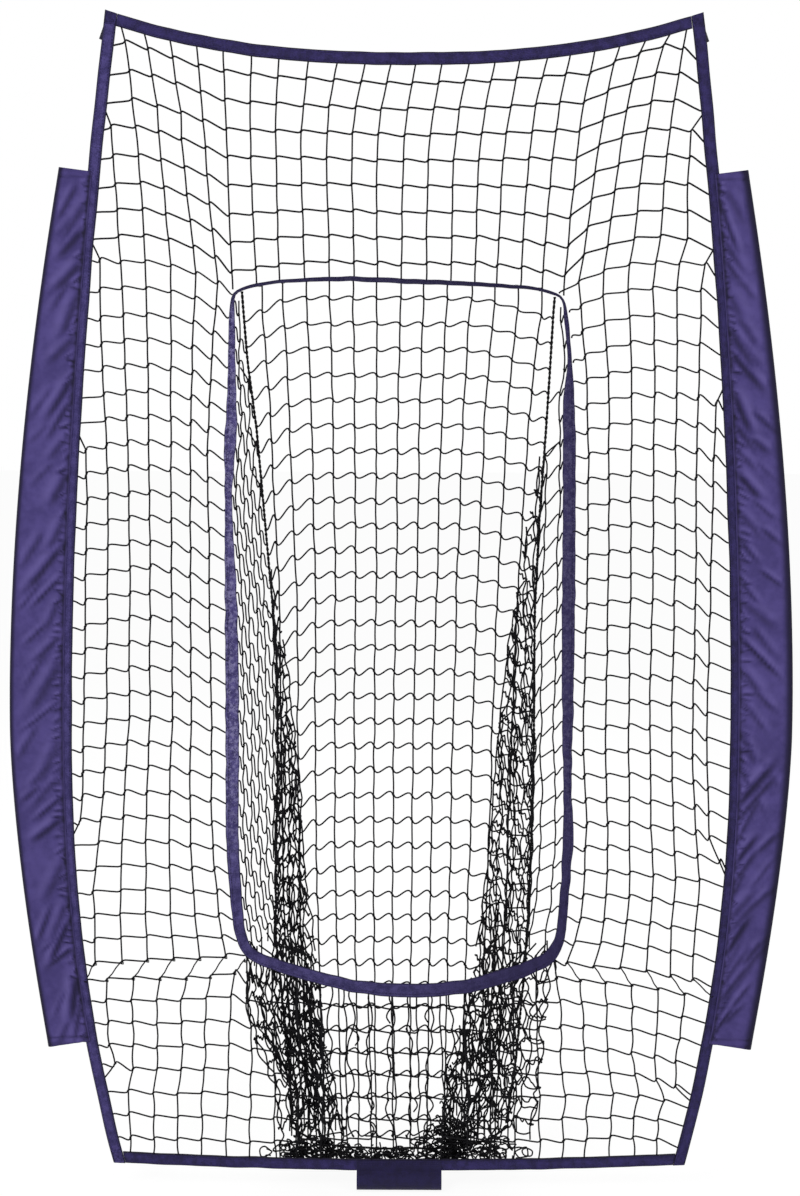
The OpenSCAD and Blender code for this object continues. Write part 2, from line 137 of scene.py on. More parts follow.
SKY_LIGHT = 0.62
world = bpy.data.worlds.new("studio")
scene.world = world
world.use_nodes = True
tree = world.node_tree
tree.nodes.clear()
sky = add_node(tree, "ShaderNodeBackground", in_Color=(1, 1, 1, 1), in_Strength=SKY_LIGHT)
white = add_node(tree, "ShaderNodeBackground", in_Color=(1, 1, 1, 1), in_Strength=1.0)
mix = add_node(tree, "ShaderNodeMixShader")
tree.links.new(camera_sees(tree), mix.inputs[0])
tree.links.new(sky.outputs[0], mix.inputs[1])
tree.links.new(white.outputs[0], mix.inputs[2])
tree.links.new(mix.outputs[0], add_node(tree, "ShaderNodeOutputWorld").inputs[0])

floor_white, tree = new_material("studio_floor")
paper = add_node(tree, "ShaderNodeBsdfDiffuse", in_Color=(0.9, 0.9, 0.9, 1))
glow = add_node(tree, "ShaderNodeEmission", in_Color=(1, 1, 1, 1), in_Strength=1.03)
mix = add_node(tree, "ShaderNodeMixShader")
tree.links.new(math_node(tree, "MULTIPLY", camera_sees(tree), 0.88), mix.inputs[0])
tree.links.new(paper.outputs[0], mix.inputs[1])
tree.links.new(glow.outputs[0], mix.inputs[2])
tree.links.new(mix.outputs[0], add_node(tree, "ShaderNodeOutputMaterial").inputs[0])

FLOOR_GAP = 0.001
FLOOR_Z = cad_box[0][2] - FLOOR_GAP
bpy.ops.object.select_all(action="DESELECT")
bpy.ops.mesh.primitive_plane_add(size=30, location=(0, 0, FLOOR_Z))
floor = bpy.context.object
floor.name = "floor"
floor.data.materials.append(floor_white)


def soft_lamp(name, place, aim, size, power):
    lamp = bpy.data.lights.new(name, "AREA")
    lamp.shape = "DISK"
    lamp.size = size
    lamp.energy = power
    holder = bpy.data.objects.new(name, lamp)
    scene.collection.objects.link(holder)
    direction = Vector(aim) - Vector(place)
    turned = direction.to_track_quat("-Z", "Y").to_matrix().to_4x4()
    holder.matrix_world = Matrix.Translation(place) @ turned


soft_lamp("key_lamp", (-2.6, -3.4, 3.4), (0, 0, 1.0), 2.2, 105)
soft_lamp("fill_lamp", (3.2, -2.6, 2.2), (0, 0, 0.9), 2.4, 45)
soft_lamp("back_lamp", (0.5, 3.5, 3.0), (0, 0, 1.2), 2.5, 40)

# %% [markdown]
# ## The net's outline
# The bands, the sleeves and the netting all follow the same curves, so these come first: the width
# over the side bands at a height, the dipped upper and lower edges, and the mouth. They are the same
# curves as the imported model's, in metres.

# %% Outline curves
CORNER_H, BELLY_H, BOTTOM_H = 2.135, 0.780, 0.033
TOP_W, BELLY_W, BOTTOM_W = 1.040, 1.244, 1.070
TOP_DIP, BOTTOM_DIP, FOOT_H = 0.070, 0.014, 0.019
BAND_W, BAND_T = 0.022, 0.0052
RIM_W = 0.017


def band_half(z):
    """Half the width over the side bands at height z."""
    if z >= BELLY_H:
        share = min(z - BELLY_H, CORNER_H - BELLY_H) / (CORNER_H - BELLY_H)
        return BELLY_W / 2 - (BELLY_W - TOP_W) / 2 * share ** 1.8
    share = min(BELLY_H - z, BELLY_H - BOTTOM_H) / (BELLY_H - BOTTOM_H)
    return BELLY_W / 2 - (BELLY_W - BOTTOM_W) / 2 * share ** 2.1


def top_edge(x):
    return CORNER_H - TOP_DIP * (1 - min(abs(x) / (TOP_W / 2), 1) ** 2.4)


def bottom_edge(x):
    return FOOT_H + BOTTOM_DIP * (abs(x) / (BOTTOM_W / 2)) ** 2


def curve_at(table, z):
    """Reads a curve given as (height, value) pairs."""
    pairs = sorted(table)
    return float(np.interp(z, [p[0] for p in pairs], [p[1] for p in pairs]))


# The mouth's tape as a closed curve, anticlockwise from the lower right corner: x, z, width in mm
MOUTH = (
    (295, 474, 18), (300, 525, 17), (304, 593, 17), (307, 660, 20), (305, 742, 15), (303, 815, 17),
    (303, 880, 20), (302, 960, 22), (301, 1100, 24), (300, 1245, 23), (298, 1390, 23), (296, 1470, 19),
    (297, 1520, 9), (294, 1560, 7), (290, 1600, 8), (286, 1628, 5), (278, 1643, 4), (264, 1650, 5),
    (246, 1655, 5), (223, 1659, 6), (168, 1663, 7), (106, 1666, 8), (27, 1669, 9), (-49, 1672, 9),
    (-130, 1673, 8), (-217, 1668, 6), (-263, 1661, 6), (-290, 1652, 5), (-300, 1640, 6), (-303, 1610, 10),
    (-303, 1575, 12), (-304, 1531, 13), (-304, 1460, 17), (-307, 1389, 22), (-310, 1330, 16),
    (-311, 1281, 13), (-311, 1230, 15), (-309, 1160, 19), (-308, 1100, 22), (-307, 999, 24),
    (-307, 870, 25), (-308, 730, 24), (-308, 640, 23), (-303, 560, 22), (-300, 515, 21), (-293, 473, 20),
    (-284, 450, 20), (-268, 433, 21), (-235, 420, 22), (-202, 409, 23), (-134, 389, 23), (-67, 375, 24),
    (-3, 370, 26), (64, 371, 26), (132, 380, 26), (198, 400, 27), (234, 412, 26), (266, 428, 25),
    (285, 448, 22))


def closed_curve(table, steps):
    """Samples a closed Catmull-Rom curve through the rows of a table."""
    points = np.array(table, float)
    before, after, second = np.roll(points, 1, 0), np.roll(points, -1, 0), np.roll(points, -2, 0)
    out = []
    for p0, p1, p2, p3 in zip(before, points, after, second):
        for t in np.arange(steps) / steps:
            out.append(0.5 * (2 * p1 + (p2 - p0) * t + (2 * p0 - 5 * p1 + 4 * p2 - p3) * t * t
                              + (3 * p1 - p0 - 3 * p2 + p3) * t ** 3))
    return np.array(out)


rim_curve = closed_curve(MOUTH, 8) * MM
rim_ring = np.vstack([rim_curve, rim_curve[:1]])
rim_run = np.concatenate([[0], np.cumsum(np.linalg.norm(np.diff(rim_ring[:, :2], axis=0), axis=1))])
RIM_LENGTH = float(rim_run[-1])


def rim_at(turn):
    """Place and width of the mouth's tape, turn being the share of its length."""
    run = (turn % 1.0) * RIM_LENGTH
    x, z, width = (float(np.interp(run, rim_run, rim_ring[:, k])) for k in range(3))
    return Vector((x, 0, z)), width


UPRIGHT_FROM = 0.25     # the mouth's tape counts as a side where it is further out than this


def rim_upright(side, z, column):
    """A column of the tape's curve read at height z, on the left (-1) or the right (1)."""
    part = rim_curve[(rim_curve[:, 0] * side > UPRIGHT_FROM)]
    order = part[:, 1].argsort()
    return float(np.interp(z, part[order, 1], part[order, column]))


def rim_side(side, z):
    """x of the tape's middle at height z."""
    return rim_upright(side, z, 0)


def rim_half(side, z):
    """Half the tape's width at height z."""
    return rim_upright(side, z, 2) / 2


def rim_level(x, side):
    """Height of the tape's middle at x on the mouth's lower (-1) or upper (1) edge."""
    part = rim_curve[(rim_curve[:, 1] - 1.0) * side > 0.52]
    order = part[:, 0].argsort()
    return float(np.interp(x, part[order, 0], part[order, 1]))


print("half width at the belly", band_half(BELLY_H), "mouth from", rim_level(0, -1), "to", rim_level(0, 1))

# %% [markdown]
# ## Twine
# Netting is one kind of thing repeated some thousands of times: a strand from knot to knot. A strand
# could be a curve object, but a mesh tube gives control over its sides, so one function sweeps a tube
# with a few sides along every path and keeps its length and its turn in a UV map, for the twist of
# the yarn. A bar between two knots hangs in a shallow S, because it leaves a knot on the upper side
# and arrives at the next one from below, and the more it is pressed together the deeper its S is.

# %% Sweeping tubes
CELL = 0.0455
TWINE_R = 0.0016
rng = random.Random(20)


def jitter(size):
    return rng.uniform(-size, size)


def tube_rings(path, radius, sides):
    """Rings of points round a path, carried along it without twisting."""
    points = np.array([tuple(p) for p in path])
    steps = np.diff(points, axis=0)
    lengths = np.linalg.norm(steps, axis=1)
    keep = np.concatenate([[True], lengths > 1e-6])
    points = points[keep]
    steps = np.diff(points, axis=0)
    lengths = np.linalg.norm(steps, axis=1)
    steps = steps / lengths[:, None]
    ways = np.vstack([steps[:1], (steps[:-1] + steps[1:]), steps[-1:]])
    ways /= np.maximum(np.linalg.norm(ways, axis=1), 1e-9)[:, None]
    side = np.cross(ways[0], (0.0, 1.0, 0.0))
    if np.linalg.norm(side) < 0.1:
        side = np.cross(ways[0], (1.0, 0.0, 0.0))
    angles = 2 * np.pi * np.arange(sides) / sides
    rings = np.empty((len(points), sides, 3))
    for i, way in enumerate(ways):
        side = side - way * side.dot(way)
        side /= np.linalg.norm(side)
        other = np.cross(way, side)
        rings[i] = points[i] + radius * (np.cos(angles)[:, None] * side + np.sin(angles)[:, None] * other)
    along = np.concatenate([[0.0], np.cumsum(lengths)])
    return rings, along


class Strands:
    """Collects tubes and knots, and makes them one mesh."""

    def __init__(self):
        self.verts, self.faces, self.uvs = [], [], []
        self.count, self.length = 0, 0.0

    def tube(self, path, radius=TWINE_R, sides=5):
        rings, along = tube_rings(path, radius, sides)
        start = self.count
        self.verts.append(rings.reshape(-1, 3))
        for i in range(len(rings) - 1):
            for k in range(sides):
                a, b = start + i * sides + k, start + i * sides + (k + 1) % sides
                self.faces.append((a, b, b + sides, a + sides))
                self.uvs += [(along[i], k / sides), (along[i], (k + 1) / sides),
                             (along[i + 1], (k + 1) / sides), (along[i + 1], k / sides)]
        last = start + (len(rings) - 1) * sides
        self.faces.append(tuple(start + k for k in reversed(range(sides))))
        self.faces.append(tuple(last + k for k in range(sides)))
        self.uvs += [(0, 0)] * (2 * sides)
        self.count += len(rings) * sides
        self.length += along[-1]

    def shape(self, verts, faces, matrix):
        placed = np.array([tuple(matrix @ Vector(v)) for v in verts])
        self.verts.append(placed)
        for face in faces:
            self.faces.append(tuple(self.count + i for i in face))
            self.uvs += [(verts[i][2], verts[i][0]) for i in face]
        self.count += len(verts)

    def finish(self, name, material):
        mesh = bpy.data.meshes.new(name)
        mesh.from_pydata(np.vstack(self.verts).tolist(), [], self.faces)
        layer = mesh.uv_layers.new(name="UVMap")
        layer.data.foreach_set("uv", np.array(self.uvs, np.float32).ravel())
        mesh.polygons.foreach_set("use_smooth", [True] * len(mesh.polygons))
        mesh.materials.append(material)
        mesh.update()
        piece = bpy.data.objects.new(name, mesh)
        scene.collection.objects.link(piece)
        print(name, "faces", len(self.faces), "twine", round(self.length, 1), "m")
        return piece


# %% [markdown]
# ## Knots
# Each crossing is a small hard knot, a little longer than it is wide, that lies across the mesh at a
# slant. One knot is modelled from a sphere with few faces, pinched at its waist where the two loops
# bite into each other, and is then copied to every crossing.

# %% One knot
bpy.ops.object.select_all(action="DESELECT")
bpy.ops.mesh.primitive_uv_sphere_add(segments=6, ring_count=5, radius=1.0)
knot = bpy.context.object
for vertex in knot.data.vertices:
    pinch = 0.86 + 0.14 * abs(vertex.co.z)
    vertex.co = Vector((vertex.co.x * 2.5 * pinch, vertex.co.y * 2.3 * pinch, vertex.co.z * 3.9)) * MM
knot_verts = [tuple(v.co) for v in knot.data.vertices]
knot_faces = [tuple(p.vertices) for p in knot.data.polygons]
bpy.data.objects.remove(knot)
print("knot faces", len(knot_faces))


def tie_knot(strands, place, slant, size=1.0):
    """Copies the knot to a crossing. slant is 1 or -1, the side that its upper end leans to."""
    lean = Matrix.Rotation(slant * math.radians(38 + jitter(12)), 4, "Y")
    turn = Matrix.Rotation(jitter(0.6), 4, "Z")
    grow = Matrix.Scale(size * (1 + jitter(0.12)), 4)
    strands.shape(knot_verts, knot_faces, Matrix.Translation(place) @ turn @ lean @ grow)


def upright_path(knots, wave=0.0006):
    """A strand that runs through its knots, with a slight bend between them."""
    path = [knots[0]]
    for a, b in zip(knots, knots[1:]):
        bend, depth = jitter(wave), jitter(wave)
        for t in (0.25, 0.5, 0.75):
            swing = math.sin(math.pi * t)
            path.append(a.lerp(b, t) + Vector((bend * swing, depth * swing, 0)))
        path.append(b)
    return path


def rounded(points, steps=4):
    """A smooth path through points (Catmull-Rom)."""
    ends = [points[0] * 2 - points[1], *points, points[-1] * 2 - points[-2]]
    path = [points[0]]
    for a, b, c, d in zip(ends, ends[1:], ends[2:], ends[3:]):
        for i in range(1, steps + 1):
            t = i / steps
            path.append(0.5 * (2 * b + (c - a) * t + (2 * a - 5 * b + 4 * c - d) * t * t
                               + (3 * b - a - 3 * c + d) * t ** 3))
    return path


S_PEAK = 0.096          # how high t - 3t^2 + 2t^3 rises between 0 and 1


def bar_path(p, q, slant=1, slack=1.0, length=CELL, tie=0.0018, least=0.0009, hooked=1.0):
    """A bar from knot p to knot q. slant 1 leaves high and arrives low, -1 the other way. hooked 1
    keeps the bends close to the knots, 0 makes an even wave."""
    tie_off = Vector((tie * 0.7, 0, slant * tie * 1.0))
    if q.x < p.x:
        tie_off.x = -tie_off.x
    start, end = p + tie_off, q - tie_off
    chord = (end - start).length
    spare = max(length * (1 + jitter(0.02)) - (q - p).length, 0)
    shallow = least * (1 + jitter(0.5))
    pressed = slack * (1 + jitter(0.22)) * math.sqrt(spare * max(chord, 0.004)) / math.pi
    depth = max(shallow, pressed)
    lift = Vector((0, jitter(0.25) * depth / S_PEAK, slant * depth / S_PEAK))
    steps = 5 if depth < 0.0015 else 8 if depth < 0.004 else 13
    path = []
    for i in range(steps + 1):
        t = i / steps
        share = t + hooked * (t * t * (3 - 2 * t) - t)
        path.append(start.lerp(end, share) + lift * (t - 3 * t * t + 2 * t ** 3))
    return path


# %% [markdown]
# ## Materials
# Effects that several finishes share are node groups: the ribs of a weave, the uneven take-up of dye,
# the painted shade along the turned edges of a tape and the twist of a yarn. Each gives a mask or a
# height. The shader itself stays in each material, with its own colours.

# %% Shared effects
def new_group(name, inputs, outputs):
    """An empty node group. inputs are triples of a label, a socket's kind and its first value."""
    group = bpy.data.node_groups.new(name, "ShaderNodeTree")
    for label, kind, value in inputs:
        socket = group.interface.new_socket(label, in_out="INPUT", socket_type=kind)
        if value is not None:
            socket.default_value = value
    for label in outputs:
        group.interface.new_socket(label, in_out="OUTPUT", socket_type="NodeSocketFloat")
    return group, add_node(group, "NodeGroupInput"), add_node(group, "NodeGroupOutput")


def ramp_between(tree, value, low, high):
    """0 below low, 1 above high, smooth between."""
    node = add_node(tree, "ShaderNodeMapRange", interpolation_type="SMOOTHSTEP")
    tree.links.new(value, node.inputs["Value"])
    for label, end in (("From Min", low), ("From Max", high)):
        if isinstance(end, (int, float)):
            node.inputs[label].default_value = end
        else:
            tree.links.new(end, node.inputs[label])
    return node.outputs[0]


# Weave: slanting ribs one way and the other, like the herringbone of a heavy tape
weave_group, inside, outside = new_group(
    "weave", [("Vector", "NodeSocketVector", None), ("Pitch", "NodeSocketFloat", 0.0012)], ["Height"])
split = add_node(weave_group, "ShaderNodeSeparateXYZ")
weave_group.links.new(inside.outputs["Vector"], split.inputs[0])
double_pitch = math_node(weave_group, "MULTIPLY", inside.outputs["Pitch"], 4.0)
zigzag = math_node(weave_group, "PINGPONG", split.outputs[1], double_pitch)
slanted = math_node(weave_group, "ADD", split.outputs[0], zigzag)
ribs = math_node(weave_group, "SINE", math_node(weave_group, "MULTIPLY",
                 math_node(weave_group, "DIVIDE", slanted, inside.outputs["Pitch"]), 2 * math.pi))
threads = math_node(weave_group, "SINE", math_node(weave_group, "MULTIPLY",
                    math_node(weave_group, "DIVIDE", split.outputs[1], inside.outputs["Pitch"]), 4 * math.pi))
sum_of = math_node(weave_group, "ADD", ribs, math_node(weave_group, "MULTIPLY", threads, 0.4))
weave_group.links.new(math_node(weave_group, "MULTIPLY", sum_of, 0.35), outside.inputs["Height"])

# Dye: broad and fine patches where the yarn has taken more or less colour. On the mouth's tape the same
# patches place painted highlights.
dye_and_glint_group, inside, outside = new_group(
    "dye_and_glint_patches", [("Vector", "NodeSocketVector", None), ("Size", "NodeSocketFloat", 30.0)], ["Tone"])
broad = add_node(dye_and_glint_group, "ShaderNodeTexNoise", in_Detail=3.0, in_Roughness=0.6)
fine = add_node(dye_and_glint_group, "ShaderNodeTexNoise", in_Detail=2.0)
for texture, factor in ((broad, 1.0), (fine, 7.0)):
    dye_and_glint_group.links.new(inside.outputs["Vector"], texture.inputs["Vector"])
    scaled = math_node(dye_and_glint_group, "MULTIPLY", inside.outputs["Size"], factor)
    dye_and_glint_group.links.new(scaled, texture.inputs["Scale"])
both = math_node(dye_and_glint_group, "ADD", math_node(dye_and_glint_group, "MULTIPLY", broad.outputs[0], 0.6),
                 math_node(dye_and_glint_group, "MULTIPLY", fine.outputs[0], 0.4))
dye_and_glint_group.links.new(ramp_between(dye_and_glint_group, both, 0.36, 0.64), outside.inputs["Tone"])

# Painted shade along the turned edges: a mask along both edges of a tape, whose UV runs across it from 0 to
# its width
edge_shade_group, inside, outside = new_group(
    "painted_edge_shade", [("Across", "NodeSocketFloat", 0.0), ("Width", "NodeSocketFloat", 0.022),
                    ("Line", "NodeSocketFloat", 0.002)], ["Mask"])
far = math_node(edge_shade_group, "SUBTRACT", inside.outputs["Width"], inside.outputs["Across"])
nearest = math_node(edge_shade_group, "MINIMUM", inside.outputs["Across"], far)
inner = ramp_between(edge_shade_group, nearest, math_node(edge_shade_group, "MULTIPLY", inside.outputs["Line"], 0.4),
                     inside.outputs["Line"])
edge_shade_group.links.new(math_node(edge_shade_group, "SUBTRACT", 1.0, inner), outside.inputs["Mask"])

# Yarn twist: slanting lays along a tube whose UV is its length and its turn
twist_group, inside, outside = new_group(
    "yarn_twist", [("Vector", "NodeSocketVector", None), ("Lay", "NodeSocketFloat", 0.004)], ["Height"])
split = add_node(twist_group, "ShaderNodeSeparateXYZ")
twist_group.links.new(inside.outputs["Vector"], split.inputs[0])
along_lay = math_node(twist_group, "DIVIDE", split.outputs[0], inside.outputs["Lay"])
lays = math_node(twist_group, "ADD", along_lay, split.outputs[1])
swell = math_node(twist_group, "SINE", math_node(twist_group, "MULTIPLY", lays, 2 * math.pi))
twist_group.links.new(math_node(twist_group, "ABSOLUTE", swell), outside.inputs["Height"])
print("node groups", [g.name for g in bpy.data.node_groups])


# %% Finishes
def use_group(tree, group, **values):
    """Places a node group and gives its only output. values are its inputs, plain or linked."""
    node = add_node(tree, "ShaderNodeGroup", node_tree=group)
    for label, value in values.items():
        if isinstance(value, (int, float)):
            node.inputs[label].default_value = value
        else:
            tree.links.new(value, node.inputs[label])
    return node.outputs[0]


def blend_colour(tree, mask, colour_a, colour_b):
    """Goes from colour_a to colour_b where the mask is 1. Each is a colour or a socket."""
    node = add_node(tree, "ShaderNodeMix", data_type="RGBA")
    tree.links.new(mask, node.inputs[0])
    for index, colour in ((6, colour_a), (7, colour_b)):
        if isinstance(colour, tuple):
            node.inputs[index].default_value = (*colour, 1)
        else:
            tree.links.new(colour, node.inputs[index])
    return node.outputs[2]


def bumped(tree, height, depth):
    """A normal that a height of up to depth metres gives."""
    node = add_node(tree, "ShaderNodeBump", in_Strength=0.9, in_Distance=depth)
    tree.links.new(height, node.inputs["Height"])
    return node.outputs[0]


def shader_out(tree, colour, normal, roughness, **uniform):
    """The Principled shader at the end of a material. Uniform values go straight on its sockets."""
    shader = add_node(tree, "ShaderNodeBsdfPrincipled")
    tree.links.new(colour, shader.inputs["Base Color"])
    tree.links.new(normal, shader.inputs["Normal"])
    if isinstance(roughness, float):
        shader.inputs["Roughness"].default_value = roughness
    else:
        tree.links.new(roughness, shader.inputs["Roughness"])
    for label, value in uniform.items():
        shader.inputs[label.replace("_", " ")].default_value = value
    tree.links.new(shader.outputs[0], add_node(tree, "ShaderNodeOutputMaterial").inputs[0])


# Painted colours of the mouth's tape: shade for its right side and its lower part, highlights for glinting
# patches higher up, and shade where it rolls over at the top.
PAINTED_SHADE = (0.010, 0.006, 0.042)
GLINT_TINT = (0.235, 0.215, 0.400)
ROLLED_SHADE = (0.010, 0.007, 0.036)


def rim_shading(tree, place, colour):
    """Painted shade makes the mouth's tape darker to its right, below and where it rolls over, and painted
    highlights glint in patches above.
    """
    where = add_node(tree, "ShaderNodeSeparateXYZ")
    tree.links.new(place.outputs["Object"], where.inputs[0])
    x, z = where.outputs[0], where.outputs[2]
    # painted shade: darker towards the tape's right side
    right = math_node(tree, "MULTIPLY", ramp_between(tree, x, -0.12, 0.26), 0.72)
    # painted highlights: a noise picks glinting patches, only on the upper part of the tape
    glint_noise = use_group(tree, dye_and_glint_group, Vector=place.outputs["Object"], Size=150.0)
    upper = math_node(tree, "MULTIPLY", ramp_between(tree, z, 0.52, 0.80), 0.65)
    glints = math_node(tree, "MULTIPLY", ramp_between(tree, glint_noise, 0.50, 0.72), upper)
    # painted shade: darker towards the tape's lower part
    lower = math_node(tree, "MULTIPLY", ramp_between(tree, z, 0.62, 0.42), 0.22)
    # painted shade where the tape rolls over at the top
    rolled_shade = math_node(tree, "MULTIPLY", ramp_between(tree, z, 1.61, 1.65), 0.85)
    for mask, tint in ((lower, PAINTED_SHADE), (glints, GLINT_TINT), (right, PAINTED_SHADE), (rolled_shade, ROLLED_SHADE)):
        colour = blend_colour(tree, mask, colour, tint)
    return colour


def webbing_finish(name, deep, light, edge, width=BAND_W, line=0.0030, pitch=0.0011, shaded=False):
    """Woven tape: ribbed and unevenly dyed, with painted shade along its turned edges."""
    material, tree = new_material(name)
    place = add_node(tree, "ShaderNodeTexCoord")
    split = add_node(tree, "ShaderNodeSeparateXYZ")
    tree.links.new(place.outputs["UV"], split.inputs[0])
    tone = use_group(tree, dye_and_glint_group, Vector=place.outputs["Object"], Size=62.0)
    height = use_group(tree, weave_group, Vector=place.outputs["UV"], Pitch=pitch)
    mask = use_group(tree, edge_shade_group, Across=split.outputs[1], Width=width, Line=line)
    colour = blend_colour(tree, tone, deep, light)
    # painted shade along the turned edges
    colour = blend_colour(tree, math_node(tree, "MULTIPLY", mask, 0.85), colour, edge)
    groove = math_node(tree, "MULTIPLY", math_node(tree, "ABSOLUTE", height), 0.35, True)
    colour = blend_colour(tree, groove, colour, tuple(0.7 * c for c in deep))
    if shaded:
        colour = rim_shading(tree, place, colour)
    rough = math_node(tree, "ADD", math_node(tree, "MULTIPLY", tone, 0.12), 0.52)
    shader_out(tree, colour, bumped(tree, height, 0.0004), rough, Sheen_Weight=0.02, Specular_IOR_Level=0.2)
    return material


STRAP_REACH = 0.0735    # past the tail of the strap's half, so only its fold gets the painted shade line
# The fourth colour of each webbing is the painted shade along its turned edges.
dark_webbing = webbing_finish("dark_webbing", (0.011, 0.007, 0.048), (0.034, 0.025, 0.125),
                              (0.003, 0.002, 0.009))
# A lighter copy of the same webbing: painted light for the left band, on the side that the light falls on.
lit_webbing = webbing_finish("lit_webbing", (0.026, 0.019, 0.098), (0.070, 0.054, 0.200),
                               (0.004, 0.003, 0.014), line=0.0036)
strap_webbing = webbing_finish("strap_webbing", (0.008, 0.005, 0.034), (0.016, 0.012, 0.064),
                               (0.003, 0.002, 0.009), width=STRAP_REACH, line=0.0020)
rim_tape = webbing_finish("rim_tape", (0.022, 0.016, 0.085), (0.090, 0.074, 0.235),
                          (0.005, 0.004, 0.020), width=RIM_W, line=0.0018, pitch=0.0009, shaded=True)
print("webbing finishes", dark_webbing.name, lit_webbing.name, strap_webbing.name, rim_tape.name)


def yarn_finish(name, deep, light, lay, depth, rough):
    """Twisted yarn: near black, with the light catching on its lays."""
    material, tree = new_material(name)
    place = add_node(tree, "ShaderNodeTexCoord")
    height = use_group(tree, twist_group, Vector=place.outputs["UV"], Lay=lay)
    tone = use_group(tree, dye_and_glint_group, Vector=place.outputs["Object"], Size=60.0)
    colour = blend_colour(tree, math_node(tree, "MULTIPLY", height, tone), deep, light)
    shader_out(tree, colour, bumped(tree, height, depth), rough, Specular_IOR_Level=0.12)
    return material


net_twine = yarn_finish("net_twine", (0.002, 0.002, 0.003), (0.009, 0.008, 0.011), 0.0045, 0.0005, 0.75)
lacing_cord = yarn_finish("lacing_cord", (0.002, 0.002, 0.002), (0.008, 0.007, 0.009), 0.007, 0.0008, 0.7)
stitch_thread = yarn_finish("stitch_thread", (0.016, 0.012, 0.05), (0.05, 0.04, 0.13), 0.001, 0.0001, 0.5)


def sleeve_finish():
    """Coated nylon: a fine weave and a soft sheen. Its attribute paints shade into the creases and along the
    outer edge, dark seam and hem lines, and painted highlights on the crests.
    """
    material, tree = new_material("sleeve_nylon")
    place = add_node(tree, "ShaderNodeTexCoord")
    tone = use_group(tree, dye_and_glint_group, Vector=place.outputs["Object"], Size=9.0)
    height = use_group(tree, weave_group, Vector=place.outputs["UV"], Pitch=0.0006)
    colour = blend_colour(tree, tone, (0.044, 0.032, 0.140), (0.068, 0.051, 0.195))
    # The attribute holds painted shade (creases, outer edge), dark seam and hem lines, and painted highlights
    # on the crests: the first colour below darkens, the second is the painted highlight.
    painted_light_and_seams = add_node(tree, "ShaderNodeAttribute", attribute_name="painted_light_and_seams")
    shade_and_seam_lines = math_node(tree, "MULTIPLY", painted_light_and_seams.outputs["Fac"], 0.97, True)
    painted_highlight = math_node(tree, "MULTIPLY", painted_light_and_seams.outputs["Fac"], -1.0, True)
    colour = blend_colour(tree, shade_and_seam_lines, colour, (0.004, 0.002, 0.018))
    colour = blend_colour(tree, painted_highlight, colour, (0.120, 0.095, 0.290))
    rough = math_node(tree, "ADD", math_node(tree, "MULTIPLY", tone, 0.10), 0.50)
    shader_out(tree, colour, bumped(tree, height, 0.0002), rough, Sheen_Weight=0.03, Sheen_Roughness=0.35,
               Specular_IOR_Level=0.16)
    return material


sleeve_nylon = sleeve_finish()


def pile_finish(name, colour_a, colour_b, scale, depth):
    """Hook or loop tape: a dense field of tiny tips."""
    material, tree = new_material(name)
    place = add_node(tree, "ShaderNodeTexCoord")
    tips = add_node(tree, "ShaderNodeTexVoronoi", in_Scale=scale)
    tree.links.new(place.outputs["UV"], tips.inputs["Vector"])
    colour = blend_colour(tree, tips.outputs["Distance"], colour_a, colour_b)
    shader_out(tree, colour, bumped(tree, tips.outputs["Distance"], depth), 0.85, Sheen_Weight=0.3)
    return material


loop_pile = pile_finish("loop_pile", (0.022, 0.020, 0.026), (0.006, 0.006, 0.007), 900, 0.0008)
hook_tips = pile_finish("hook_tips", (0.014, 0.013, 0.015), (0.004, 0.004, 0.004), 620, 0.0006)
print("materials", len(bpy.data.materials))

# %% [markdown]
# ## Bent sheets
# Webbing and cloth start as a flat grid, as they do on a roll. The grid is bent onto its place point
# by point, which keeps its UV map straight, and gets its thickness from a Solidify modifier.

# %% Bending a grid
def only_select(piece):
    bpy.ops.object.select_all(action="DESELECT")
    piece.select_set(True)
    bpy.context.view_layer.objects.active = piece


def give_wall(piece, thickness, offset=-1.0):
    """Solidify, applied. The offset -1 keeps the sheet as the outer face, 0 as the middle."""
    wall = piece.modifiers.new("wall", "SOLIDIFY")
    wall.thickness = thickness
    wall.offset = offset
    bpy.ops.object.modifier_apply(modifier="wall")


def soften(piece, width, angle=math.radians(30)):
    """A small bevel on the sharp edges, applied."""
    soft = piece.modifiers.new("soft_edge", "BEVEL")
    soft.width = width
    soft.segments = 2
    soft.limit_method = "ANGLE"
    soft.angle_limit = angle
    bpy.ops.object.modifier_apply(modifier="soft_edge")


def put_in(piece, body, node):
    """The piece rides on its body, in place of its solid."""
    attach(piece, body)
    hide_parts(node)


def bent_sheet(name, length_steps, width_steps, place, size, thickness, material, close=False, offset=-1.0):
    """A grid whose points go where place(u, v) says. size is its length and width in the UV map."""
    bpy.ops.object.select_all(action="DESELECT")
    bpy.ops.mesh.primitive_grid_add(x_subdivisions=length_steps, y_subdivisions=width_steps, size=2)
    sheet = bpy.context.object
    sheet.name = name
    mesh = sheet.data
    for vertex in mesh.vertices:
        vertex.co = place((vertex.co.x + 1) / 2, (vertex.co.y + 1) / 2)
    for entry in mesh.uv_layers.active.data:
        entry.uv = (entry.uv[0] * size[0], entry.uv[1] * size[1])
    bpy.ops.object.mode_set(mode="EDIT")
    bpy.ops.mesh.select_all(action="SELECT")
    if close:
        bpy.ops.mesh.remove_doubles(threshold=0.00002)
    bpy.ops.object.mode_set(mode="OBJECT")
    if thickness:
        give_wall(sheet, thickness, offset)
    bpy.ops.object.shade_smooth_by_angle(angle=math.radians(50))
    mesh.materials.append(material)
    return sheet


